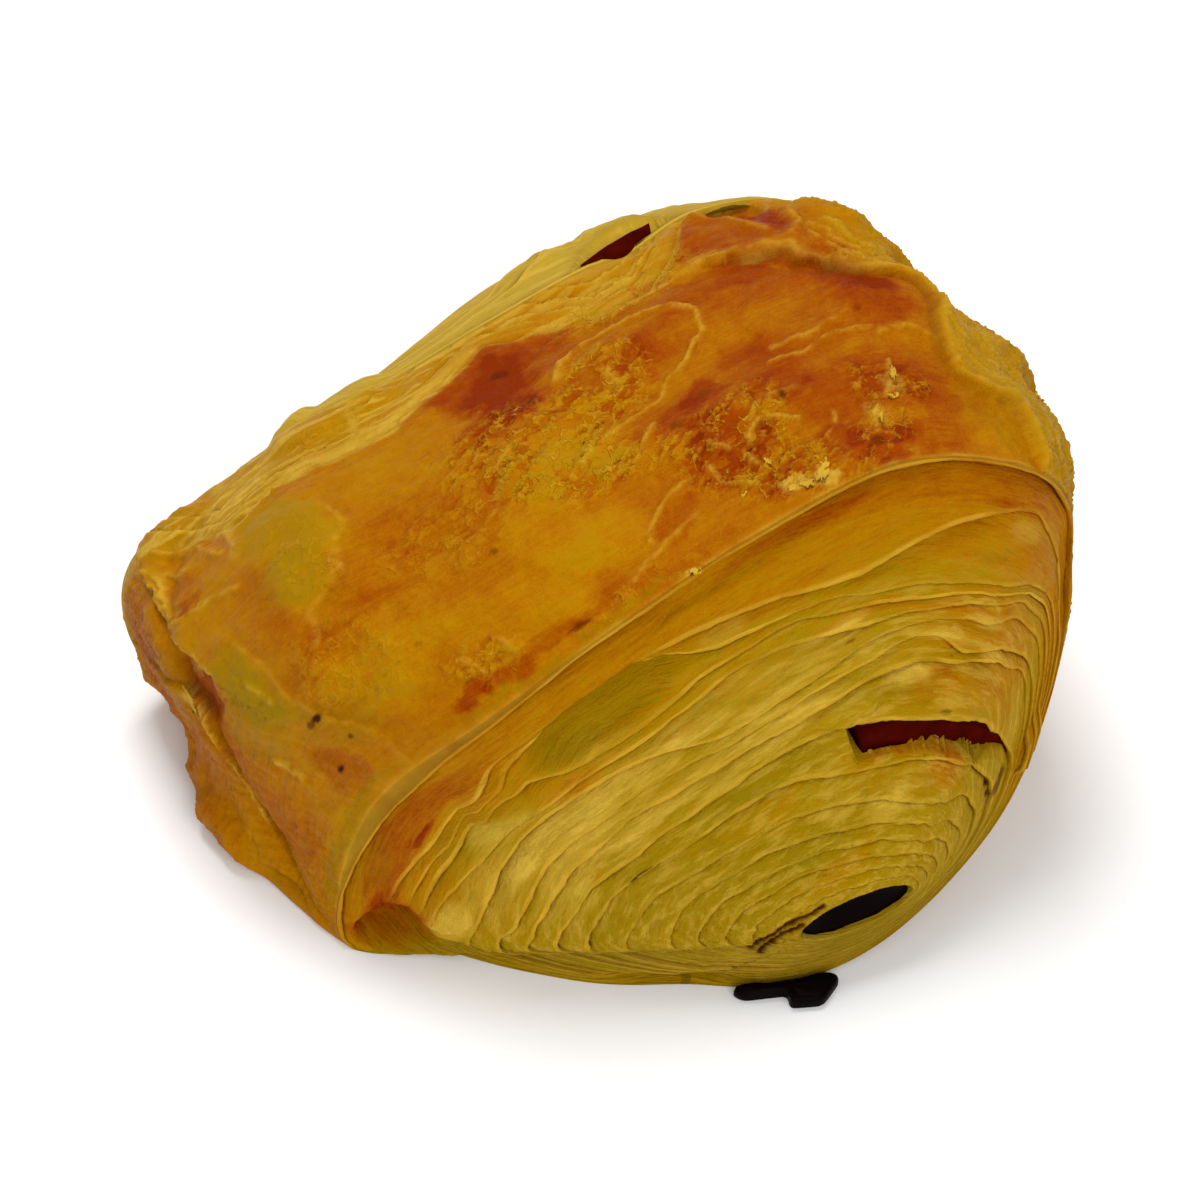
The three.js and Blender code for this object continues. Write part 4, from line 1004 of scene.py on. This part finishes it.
def grid_faces(rows, columns):
    """Four-cornered faces of a grid that closes on itself both ways."""
    row, column = np.meshgrid(np.arange(rows), np.arange(columns), indexing="ij")
    after_row, after_column = (row + 1) % rows, (column + 1) % columns
    corners = [row * columns + column, row * columns + after_column,
               after_row * columns + after_column, after_row * columns + column]
    return np.stack(corners, -1).reshape(-1, 4)


def mesh_from(name, points, faces):
    """A smooth-shaded mesh object from points in mm and four-cornered faces."""
    mesh = bpy.data.meshes.new(name)
    points = np.asarray(to_row_frame(points).reshape(-1, 3), np.float32)
    faces = np.asarray(faces, np.int32)
    mesh.vertices.add(len(points))
    mesh.vertices.foreach_set("co", points.ravel())
    mesh.loops.add(faces.size)
    mesh.loops.foreach_set("vertex_index", faces.ravel())
    mesh.polygons.add(len(faces))
    mesh.polygons.foreach_set("loop_start", np.arange(0, faces.size, 4, dtype=np.int32))
    mesh.update(calc_edges=True)
    mesh.validate()
    mesh.shade_smooth()
    piece = bpy.data.objects.new(name, mesh)
    bpy.context.collection.objects.link(piece)
    return piece


def set_numbers(mesh, numbers):
    """Stores each mark as one number a point, for the materials to read."""
    for name in MARKS:
        layer = mesh.attributes.new(name, "FLOAT", "POINT")
        layer.data.foreach_set("value", np.asarray(numbers[name], np.float32).ravel())

# %% [markdown]
# All rows join into one closed skin: the near face from its eye outward, the crust, the far face
# down to its eye, and the tunnel of the lower baton back to the start.

# %% Put the roll together
def tunnel_rows(steps=3):
    rows, far, near = Rows(), eye_point(TURN, "far"), eye_point(TURN, "near")
    for step in range(1, steps + 1):
        # the tunnel wall is painted dark all over
        rows.add(far + (near - far) * step / (steps + 1), stain=1.0)
    return rows


roll = face_rows("near")
roll.reverse()
middle, crust = crust_rows()
for part in (middle, face_rows("far"), tunnel_rows()):
    roll.extend(part)
pastry = mesh_from("pastry_roll", np.array(roll.points), grid_faces(len(roll.points), COLUMNS))
set_numbers(pastry.data, roll.marks)
print("pastry_roll:", len(pastry.data.polygons), "faces")

# %% [markdown]
# Two dark batons run through the roll. The upper one melted flat and shows in its slot at both
# ends; the lower one has sunk back inside the eye. They are lofted from section loops, with a
# slightly lumpy skin, because chocolate that melts and sets again is never quite smooth. A line
# of the upper baton gives the middle of its bent section as x, y, z and thickness.

# %% Chocolate batons
UPPER_NEAR_LINE = (
    (15, -34.3, 26.2, 3.2), (20, -34.3, 26.1, 3.1), (25.5, -34.6, 23.9, 3.1), (31, -34.0, 19.8, 2.7),
    (35.4, -33.4, 14.4, 1.9))
UPPER_FAR_LINE = (
    (10.5, 31.2, 44.0, 1.9), (14.5, 32.6, 44.3, 2.4), (18.5, 34.2, 44.0, 2.5), (22.5, 37.0, 42.3, 2.1),
    (26.5, 39.2, 39.8, 1.5))
SECTION_SAMPLES, EYE_SAMPLES, LOOPS = 22, 48, 60
UPPER_ARCH, UPPER_LUMPS, UPPER_SEED = 2.0, 0.18, 801
LOWER_NEAR_Y, LOWER_FAR_Y, TUNNEL_GAP = -41.2, 45.2, 0.3
LOWER_LUMPS, LOWER_SEED, LOWER_HOLLOW = 0.15, 811, -1.8
CAP_SHARES = (0.85, 0.5, 0.1)


def section_loop(line):
    """A flat rounded section round a bent middle line of x, y, z and thickness."""
    line = np.array(line, float)
    spots = np.linspace(0, len(line) - 1, SECTION_SAMPLES)
    x, y, z, half = (np.interp(spots, range(len(line)), line[:, k]) for k in range(4))
    slope_x, slope_z = np.gradient(x), np.gradient(z)
    length = np.hypot(slope_x, slope_z) / (half / 2)
    upper = np.stack([x - slope_z / length, y, z + slope_x / length], 1)
    lower = np.stack([x + slope_z / length, y, z - slope_x / length], 1)
    return np.concatenate([upper, lower[::-1]])


def loft(name, loops, lump, seed, bulge=0.25):
    """A closed skin over loops of points; the end loops shrink to close it and bulge by so many mm."""
    rows, columns = loops.shape[:2]
    out = loops - loops.mean(axis=1, keepdims=True)
    out /= np.maximum(np.linalg.norm(out, axis=2, keepdims=True), 1e-6)
    round_way, along = np.meshgrid(np.arange(columns) / columns, np.linspace(0, 1, rows))
    loops = loops - out * (lump * (0.6 + 0.5 * rough_field(round_way, along, 12, 40, seed)))[..., None]
    caps = []
    for end, outward in ((0, -1.0), (-1, 1.0)):
        centre, push = loops[end].mean(axis=0), np.array([0, outward * bulge, 0])
        caps.append([centre + (loops[end] - centre) * share + push * (1 - share) for share in CAP_SHARES])
    all_loops = np.concatenate([caps[0][::-1], loops, caps[1]])
    return mesh_from(name, all_loops, grid_faces(len(all_loops), columns)[:-columns])


share = np.linspace(0, 1, LOOPS)[:, None]
near_loop, far_loop = section_loop(UPPER_NEAR_LINE), section_loop(UPPER_FAR_LINE)
upper_loops = near_loop + (far_loop - near_loop) * share[..., None]
upper_loops[..., 2] += UPPER_ARCH * 4 * share * (1 - share)
upper = loft("upper_baton", upper_loops, UPPER_LUMPS, UPPER_SEED)
eye_turns = np.linspace(0, 1, EYE_SAMPLES, endpoint=False)
near_eye, far_eye = (eye_point(eye_turns, end, -TUNNEL_GAP) for end in ("near", "far"))
lower_loops = near_eye + (far_eye - near_eye) * share[..., None]
lower_loops[..., 1] = LOWER_NEAR_Y + (LOWER_FAR_Y - LOWER_NEAR_Y) * share
lower = loft("lower_baton", lower_loops, LOWER_LUMPS, LOWER_SEED, LOWER_HOLLOW)
print("batons:", len(upper.data.polygons), len(lower.data.polygons), "faces")

# %% [markdown]
# Under the near end lies a small flat scrap of dark chocolate that ran out and set. It is a slab
# with a wavering outline and a rounded top. Its profile is given as shares of the outline's size
# and of the height.

# %% Chocolate foot
FOOT_OUTLINE = ((-3.4, -41.3), (-2.6, -42.5), (2.4, -43.9), (1.8, -45.6), (5.4, -46.8), (8.6, -44.6),
                (7.8, -43.6), (2.0, -42.7), (-2.4, -41.2))
FOOT_PROFILE = ((0.02, 0.0), (0.6, 0.0), (0.97, 0.0), (1.0, 0.12), (1.0, 0.55), (0.97, 0.85),
                (0.88, 0.97), (0.6, 1.0), (0.3, 1.0), (0.02, 1.0))
FOOT_HEIGHT, FOOT_BUMPS, FOOT_SAMPLES, FOOT_SEED = 1.71, 0.10, 72, 821


def rounded_outline(corners, count):
    """Evenly spaced points on a closed outline with softened corners."""
    corners = np.array(corners, float)
    closed = np.vstack([corners, corners[:1]])
    lengths = np.concatenate([[0], np.cumsum(np.linalg.norm(np.diff(closed, axis=0), axis=1))])
    places = np.linspace(0, lengths[-1], count, endpoint=False)
    outline = np.stack([np.interp(places, lengths, closed[:, k]) for k in (0, 1)], 1)
    for _ in range(3):
        outline = 0.25 * np.roll(outline, 1, 0) + 0.5 * outline + 0.25 * np.roll(outline, -1, 0)
    return outline


outline = rounded_outline(FOOT_OUTLINE, FOOT_SAMPLES)
foot_centre, foot_turns = outline.mean(axis=0), np.arange(FOOT_SAMPLES) / FOOT_SAMPLES
foot_loops = []
for share, rise in FOOT_PROFILE:
    ring = foot_centre + (outline - foot_centre) * share
    bumps = FOOT_BUMPS * rise * field(foot_turns, share, 14, 4, FOOT_SEED)
    foot_loops.append(np.column_stack([ring, FOOT_HEIGHT * (rise + bumps)]))
foot_faces = grid_faces(len(foot_loops), FOOT_SAMPLES)[:-FOOT_SAMPLES]
foot = mesh_from("chocolate_scrap", np.array(foot_loops), foot_faces)
print("chocolate_scrap:", len(foot_faces), "faces")

# %% [markdown]
# Laminated crust sheds: a few pale curled chips stand up from the blistered parts. Each chip is a
# small bent sheet with two faces, sunk a little into the crust so that none floats. The finer
# crumbs are relief in the crust itself, because they never came loose from it. A chip is given by
# its turn, side, length, width, lift and spin.

# %% Loose flakes on the crust
FLAKES = (
    (0.5235, -0.875, 2.3, 1.5, 0.4, 0.3), (0.5275, -0.9, 2.0, 1.3, 0.45, 2.2),
    (0.5365, -0.885, 3.2, 1.3, 0.5, 1.3), (0.59, -0.52, 2.4, 0.7, 0.35, 1.4),
    (0.5735, -0.72, 2.6, 0.7, 0.4, 1.5), (0.584, -0.64, 1.4, 0.6, 0.3, 0.4),
    (0.464, -0.985, 1.3, 0.8, 0.3, 0.1), (0.251, 0.06, 3.4, 1.1, 0.5, 1.5),
    (0.675, -0.5, 1.8, 0.9, 0.5, 1.0), (0.503, -0.79, 1.5, 0.5, 0.3, 1.1),
    (0.519, -0.7, 1.3, 0.5, 0.3, 2.0), (0.361, -0.03, 1.3, 0.6, 0.25, 0.3))
FLAKE_GRID, FLAKE_THICKNESS, FLAKE_SUNK = 7, 0.16, 0.05
FLAKE_MARKS = {"edge": 0.25, "crust": 1.0, "toast": 0.10, "pale": 0.85}
FLAKE_ROUNDNESS, FLAKE_RAGGED = 0.45, 0.30
dice = np.random.default_rng(905)
flake_points, flake_faces = [], []


def add_flake(row, column, length, width, lift, spin):
    """One bent chip, in mm, lying on the crust grid at a row and column."""
    spot, up = crust["points"][row, column], crust["normal"][row, column]
    ahead = np.cross(up, (0.3, 1.0, 0.2))
    ahead /= np.linalg.norm(ahead)
    aside = np.cross(up, ahead)
    n, half = FLAKE_GRID, FLAKE_GRID**2
    first = half * len(flake_points)
    u, v = np.meshgrid(np.linspace(-1, 1, n), np.linspace(-1, 1, n), indexing="ij")
    ragged = 1 + FLAKE_RAGGED * dice.uniform(-1, 1, u.shape)
    wide = u * np.sqrt(1 - FLAKE_ROUNDNESS * v**2) * ragged * length / 2
    deep = v * np.sqrt(1 - FLAKE_ROUNDNESS * u**2) * ragged * width / 2
    rise = lift * (0.25 + 0.5 * u + 0.55 * u**2 * dice.uniform(0.4, 1.2) - 0.3 * v**2 * dice.uniform(-1, 1))
    east, north = (np.cos(spin) * wide - np.sin(spin) * deep, np.sin(spin) * wide + np.cos(spin) * deep)
    for under in (0.0, FLAKE_THICKNESS):
        height = rise - under - FLAKE_SUNK
        block = spot + east[..., None] * ahead + north[..., None] * aside + height[..., None] * up
        flake_points.append(block.reshape(-1, 3))
    for i in range(n - 1):
        for j in range(n - 1):
            corner = first + i * n + j
            quad = [corner, corner + n, corner + n + 1, corner + 1]
            flake_faces.append(quad)
            flake_faces.append([point + half for point in reversed(quad)])
    border = [i * n for i in range(n)] + [(n - 1) * n + j for j in range(1, n)]
    border += [i * n + n - 1 for i in range(n - 2, -1, -1)] + list(range(n - 2, 0, -1))
    for a, b in zip(border, border[1:] + border[:1]):
        flake_faces.append([first + b, first + a, first + a + half, first + b + half])


for at_turn, at_side, *shape in FLAKES:
    row = int(np.argmin(np.abs(crust["sides"] - at_side)))
    add_flake(row, int(np.argmin(np.abs(TURN - at_turn))), *shape)
flakes = mesh_from("crust_flakes", np.concatenate(flake_points), flake_faces)
corners = len(flakes.data.vertices)
set_numbers(flakes.data, {name: np.full(corners, FLAKE_MARKS.get(name, 0.0)) for name in MARKS})
print("crust_flakes:", len(FLAKES), "chips")

# %% [markdown]
# A material here is a small tree of nodes. One helper adds a node with its settings and links, and
# colours are written as the sRGB hex values a painter would pick.

# %% Helpers for materials
def hex_to_linear(code):
    """An sRGB hex colour as linear red, green, blue and 1 for alpha."""
    channels = [int(code[i:i + 2], 16) / 255 for i in (0, 2, 4)]
    return tuple(c / 12.92 if c <= 0.04045 else ((c + 0.055) / 1.055)**2.4 for c in channels) + (1.0,)


def fill(tree, node, inputs):
    """Fills inputs by place or name: another node's output is linked, any other value is set."""
    for name, value in (inputs.items() if isinstance(inputs, dict) else enumerate(inputs)):
        if isinstance(value, bpy.types.NodeSocket):
            tree.links.new(value, node.inputs[name])
        else:
            node.inputs[name].default_value = value


def add_node(tree, kind, inputs=(), output=0, **settings):
    """Adds a node with its settings and links, and gives back one of its outputs."""
    node = tree.nodes.new("ShaderNode" + kind)
    for name, value in settings.items():
        setattr(node, name, value)
    fill(tree, node, inputs)
    return node.outputs[output]


def new_material(name):
    material = bpy.data.materials.new(name)
    material.use_nodes = True
    return material, material.node_tree, material.node_tree.nodes["Principled BSDF"]


print("marks for the materials:", len(MARKS))

# %% [markdown]
# Egg-washed laminated dough. Baked egg and sugar make a thin satin film, brown where it stood up
# to the heat; between the sheets the dough dries to a waxy yellow and tears to a pale crumb. The
# toast number picks the colour on a ramp, and noise at crumb size breaks it up, so no area is flat.
# Light and shade are painted in as well: a pale painted sheen along the inner sheets, painted
# highlights on torn lips, crests and curled crumb edges, and painted shade in undercuts, grooves,
# slits and the eye. A pattern is a noise with its size in mm, detail, roughness, distortion, and
# whether it is drawn out along the layers.

# %% Laminated dough
TOAST_RAMP = ((0.00, "AE8C22"), (0.12, "A38206"), (0.22, "A87C03"), (0.34, "B07702"), (0.46, "AD6C01"),
              (0.60, "A45C01"), (0.76, "994400"), (0.90, "8E3300"), (1.00, "822600"))
OLIVE, PALE_CRUMB_AND_SHEEN, TORN_EDGE_AND_HIGHLIGHT, CRUMB_EDGE_HIGHLIGHT = "857202", "D2AC3C", "D8A830", "D0921A"
GROOVE_SHADE, DARK_STAIN_AND_SHADE, EGG_SHINE = "5A3200", "3A0500", "FFC818"
PATTERNS = {
    "crumb": (2.8, 6.0, 0.72, 0.0, False), "speckle": (0.28, 2.0, 0.6, 0.0, False),
    "grain": (0.8, 5.0, 0.75, 0.0, False), "mottle": (7.0, 4.0, 0.6, 0.0, False),
    "film": (2.2, 2.5, 0.55, 0.5, False), "curl": (1.7, 3.0, 0.6, 0.0, False),
    "streaks": (0.42, 3.0, 0.65, 0.0, True), "painted_sheen": (1.0, 5.0, 0.65, 0.3, True)}
CELLS_MM, SHAKE_MM, SHAKE_REACH_MM = 2.4, 1.6, 2.2
ALONG_LAYERS, INNER_FACE = 0.10, (36.0, 26.0)
LEAST_TOAST = 0.27


def laminated_dough():
    """Crust and crumb in one material; the marks of each point tell it which of them shows."""
    material, tree, shader = new_material("egg_washed_laminated_dough")
    marks = {name: add_node(tree, "Attribute", output="Fac", attribute_name=name) for name in MARKS}
    place = add_node(tree, "TexCoord", output="Object")

    # the patterns, and cracks from cells whose places are shaken
    along = add_node(tree, "Math", (marks["along"], ALONG_LAYERS), operation="MULTIPLY")
    layered = add_node(tree, "CombineXYZ", (along, marks["across"]))
    noise = {}
    for name, (size, detail, roughness, distortion, drawn_out) in PATTERNS.items():
        noise[name] = add_node(tree, "TexNoise", {
            "Vector": layered if drawn_out else place, "Scale": 1 / size if drawn_out else 1 / (size * MM),
            "Detail": detail, "Roughness": roughness, "Distortion": distortion}, "Fac")
    shake = add_node(tree, "TexNoise", {"Vector": place, "Scale": 1 / (SHAKE_MM * MM), "Detail": 3.0},
                     "Color")
    shift = add_node(tree, "VectorMath", {0: shake, "Scale": SHAKE_REACH_MM * MM}, operation="SCALE")
    shaken = add_node(tree, "VectorMath", (place, shift), operation="ADD")
    cells = add_node(tree, "TexVoronoi", {"Vector": shaken, "Scale": 1 / (CELLS_MM * MM)}, "Distance",
                     feature="DISTANCE_TO_EDGE")

    # where there is film, curled edge, inner face or painted sheen: soft steps, and products of them
    steps = {}
    for name, (source, low, high) in {
            "film": (noise["film"], 0.50, 0.54), "curl": (noise["curl"], 0.50, 0.56),
            "cracks": (cells, 0.09, 0.02), "painted_sheen": (noise["painted_sheen"], 0.46, 0.64),
            "inner face": (marks["across"], *INNER_FACE)}.items():
        steps[name] = add_node(tree, "MapRange", {"Value": source, "From Min": low, "From Max": high},
                               interpolation_type="SMOOTHSTEP")
    some = add_node(tree, "Math", (marks["crust"], 0.05), operation="MULTIPLY")
    flaky = add_node(tree, "Math", (marks["flaky"], 0.95, some), operation="MULTIPLY_ADD")
    inside = add_node(tree, "Math", (1.0, marks["crust"]), operation="SUBTRACT")
    products = []
    for product, names in ((flaky, ("film",)), (flaky, ("cracks", "curl")),
                           (inside, ("inner face", "painted_sheen"))):
        for name in names:
            product = add_node(tree, "Math", (product, steps[name]), operation="MULTIPLY")
        products.append(product)
    film, line, painted_sheen = products

    # shares that depend on a mark or a pattern: each is first * second + third
    share = {}
    for name, terms in {
            "crumb": (marks["crust"], 0.24, 0.14), "streaks": (inside, 0.30, 0.26),
            "relief": (inside, 0.90, 0.30), "pale": (noise["crumb"], 1.6, -0.05),
            "lip": (noise["streaks"], 0.9, 0.15), "satin": (noise["speckle"], 0.25, 0.48)}.items():
        share[name] = add_node(tree, "Math", terms, operation="MULTIPLY_ADD")

    # toast, and its colour on the ramp
    toast = marks["toast"]
    for pattern, amount in (("crumb", share["crumb"]), ("grain", 0.26), ("speckle", 0.16),
                            ("streaks", share["streaks"]), ("mottle", 0.20)):
        centred = add_node(tree, "Math", (noise[pattern], 0.5), operation="SUBTRACT")
        toast = add_node(tree, "Math", (centred, amount, toast), operation="MULTIPLY_ADD")
    for source, amount in ((film, -0.20), (flaky, 0.12)):
        toast = add_node(tree, "Math", (source, amount, toast), operation="MULTIPLY_ADD")
    least = add_node(tree, "Math", (marks["crust"], LEAST_TOAST), operation="MULTIPLY")
    toast = add_node(tree, "Math", (toast, least), operation="MAXIMUM", use_clamp=True)
    colour = add_node(tree, "ValToRGB", (toast,))
    stops = colour.node.color_ramp.elements
    for position, _ in TOAST_RAMP[1:-1]:
        stops.new(position)
    for stop, (_, code) in zip(stops, TOAST_RAMP):
        stop.color = hex_to_linear(code)

    # tints over it: olive, pale crumb with the painted sheen, torn lips with painted highlights on crests,
    # painted highlights on curled edges, painted shade in grooves, and stains with painted shade in the
    # slits and the eye
    pale = add_node(tree, "Math", (marks["pale"], share["pale"]), operation="MULTIPLY", use_clamp=True)
    # painted highlight: a pale sheen drawn out along the inner sheets of the end faces
    pale = add_node(tree, "Math", (painted_sheen, 0.42, pale), operation="MULTIPLY_ADD", use_clamp=True)
    # the edge mark is the pale torn crumb of the lips together with painted highlights on crests
    lip = add_node(tree, "Math", (marks["edge"], share["lip"]), operation="MULTIPLY", use_clamp=True)
    # painted highlight: golden lines on curled crumb edges of the flaky crust
    for source, amount, code in ((marks["olive"], 0.6, OLIVE), (pale, 1.0, PALE_CRUMB_AND_SHEEN),
                                 (lip, 1.0, TORN_EDGE_AND_HIGHLIGHT), (line, 0.55, CRUMB_EDGE_HIGHLIGHT),
                                 (marks["groove"], 0.72, GROOVE_SHADE), (marks["stain"], 1.0, DARK_STAIN_AND_SHADE)):
        factor = add_node(tree, "Math", (source, amount), operation="MULTIPLY")
        colour = add_node(tree, "Mix", {0: factor, 6: colour, 7: hex_to_linear(code)}, 2,
                          data_type="RGBA", clamp_factor=True)

    # satin of the crust, and fine relief
    rough = add_node(tree, "Math", (marks["crust"], -0.14, share["satin"]), operation="MULTIPLY_ADD")
    height = 0.0
    for source, amount in ((noise["crumb"], 0.5), (noise["speckle"], 0.20), (noise["grain"], 0.55),
                           (noise["streaks"], share["relief"]), (film, 0.30), (line, 0.55)):
        height = add_node(tree, "Math", (source, amount, height), operation="MULTIPLY_ADD")
    normal = add_node(tree, "Bump", {"Strength": 0.75, "Distance": 0.5 * MM, "Height": height})
    fill(tree, shader, {"Base Color": colour, "Roughness": rough, "Normal": normal, "IOR": 1.45,
                        "Specular IOR Level": 0.11, "Specular Tint": hex_to_linear(EGG_SHINE)})
    return material


dough = laminated_dough()
print("dough:", len(dough.node_tree.nodes), "nodes")

# %% [markdown]
# Dark couverture that melted in the oven and set again: nearly black brown, with a satin skin, and
# redder where it is thin. The upper baton catches the light in its slot. The lower baton and the
# scrap are thicker and lie in shade, so their colour is painted almost black: painted shade.

# %% Dark chocolate
LUMPS_MM = 2.5


def dark_chocolate(name, thick, thin, gloss):
    material, tree, shader = new_material(name)
    place = add_node(tree, "TexCoord", output="Object")
    lumps = add_node(tree, "TexNoise", {"Vector": place, "Scale": 1 / (LUMPS_MM * MM), "Detail": 5.0,
                                        "Roughness": 0.6}, "Fac")
    colour = add_node(tree, "Mix", {0: lumps, 6: hex_to_linear(thick), 7: hex_to_linear(thin)}, 2,
                      data_type="RGBA")
    normal = add_node(tree, "Bump", {"Strength": 0.5, "Distance": 0.2 * MM, "Height": lumps})
    fill(tree, shader, {"Base Color": colour, "Roughness": 0.42, "IOR": 1.46, "Specular IOR Level": gloss,
                        "Normal": normal})
    return material


melted = dark_chocolate("melted_dark_chocolate", "1C0200", "560E03", 0.0)
# painted shade: the lower baton and the scrap get a nearly black copy of the chocolate
shaded = dark_chocolate("shade_darkened_chocolate", "040100", "090201", 0.03)
print("chocolate:", melted.name, "and", shaded.name)

# %% [markdown]
# Each piece gets its material, rides on the root and takes the place of a solid of the packed
# model. The flakes belong to the pastry.

# %% Dress and attach the pieces
for piece, node, slot, material in ((pastry, "pastry", "baked_dough", dough),
                                    (flakes, "pastry", "baked_dough", dough),
                                    (upper, "chocolate_upper", "dark_chocolate", melted),
                                    (lower, "chocolate_lower", "dark_chocolate", shaded),
                                    (foot, "chocolate_foot", "dark_chocolate", shaded)):
    piece.data.materials.append(material)
    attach(piece, "root")
    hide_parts(node)
    print(piece.name, "replaces", node)

# %% [markdown]
# The camera stands where the photographer stood: a little to the left of the cut end and looking
# down at 46 degrees.

# %% Camera
CAMERA_TURN, CAMERA_RISE, CAMERA_DISTANCE = math.radians(-24), math.radians(46), 0.400
CAMERA_TARGET = Vector(to_row_frame((0, 2, 21)))
PIXELS_PER_MM, PHOTO_WIDTH = 8.7, 1200


def aim(thing, target):
    thing.rotation_euler = (Vector(target) - thing.location).to_track_quat("-Z", "Y").to_euler()


back = Vector((math.sin(CAMERA_TURN) * math.cos(CAMERA_RISE),
               -math.cos(CAMERA_TURN) * math.cos(CAMERA_RISE), math.sin(CAMERA_RISE)))
camera_data = bpy.data.cameras.new("camera")
camera = bpy.data.objects.new("camera", camera_data)
bpy.context.collection.objects.link(camera)
camera.location = CAMERA_TARGET + back * CAMERA_DISTANCE
aim(camera, CAMERA_TARGET)
camera_data.sensor_fit = "HORIZONTAL"
camera_data.angle = 2 * math.atan(PHOTO_WIDTH / 2 / (PIXELS_PER_MM * CAMERA_DISTANCE / MM))
bpy.context.scene.camera = camera
bpy.context.scene.view_settings.view_transform = "Standard"
print("camera:", round(math.degrees(camera_data.angle), 1), "degrees wide")

# %% [markdown]
# The floor is a matt white board. A broad soft lamp from the upper left and behind gives the small
# shadows under the lips, and the white room fills the rest.

# %% Floor and light
ROOM_STRENGTH = 0.42
LAMP_TARGET = (0, 0, 0.02)


def area_light(name, place, size, power):
    lamp = bpy.data.lights.new(name, "AREA")
    lamp.size, lamp.energy = size, power
    thing = bpy.data.objects.new(name, lamp)
    bpy.context.collection.objects.link(thing)
    thing.location = place
    aim(thing, LAMP_TARGET)


bpy.ops.mesh.primitive_plane_add(size=6, location=(0, 0, 0))
floor = bpy.context.object
floor.name = "floor"
board, board_tree, board_shader = new_material("matt_white_board")
fill(board_tree, board_shader, {"Base Color": hex_to_linear("FAFAFA"), "Roughness": 0.9,
                                "Specular IOR Level": 0.1})
floor.data.materials.append(board)

world = bpy.data.worlds.new("studio")
bpy.context.scene.world = world
world.use_nodes = True
fill(world.node_tree, world.node_tree.nodes["Background"],
     {"Color": (1, 1, 1, 1), "Strength": ROOM_STRENGTH})
area_light("key", (0.05, 0.36, 0.80), 0.35, 5.2)
area_light("fill", (-0.10, -0.75, 0.50), 0.7, 4.5)
print("lights:", len(bpy.data.lights))
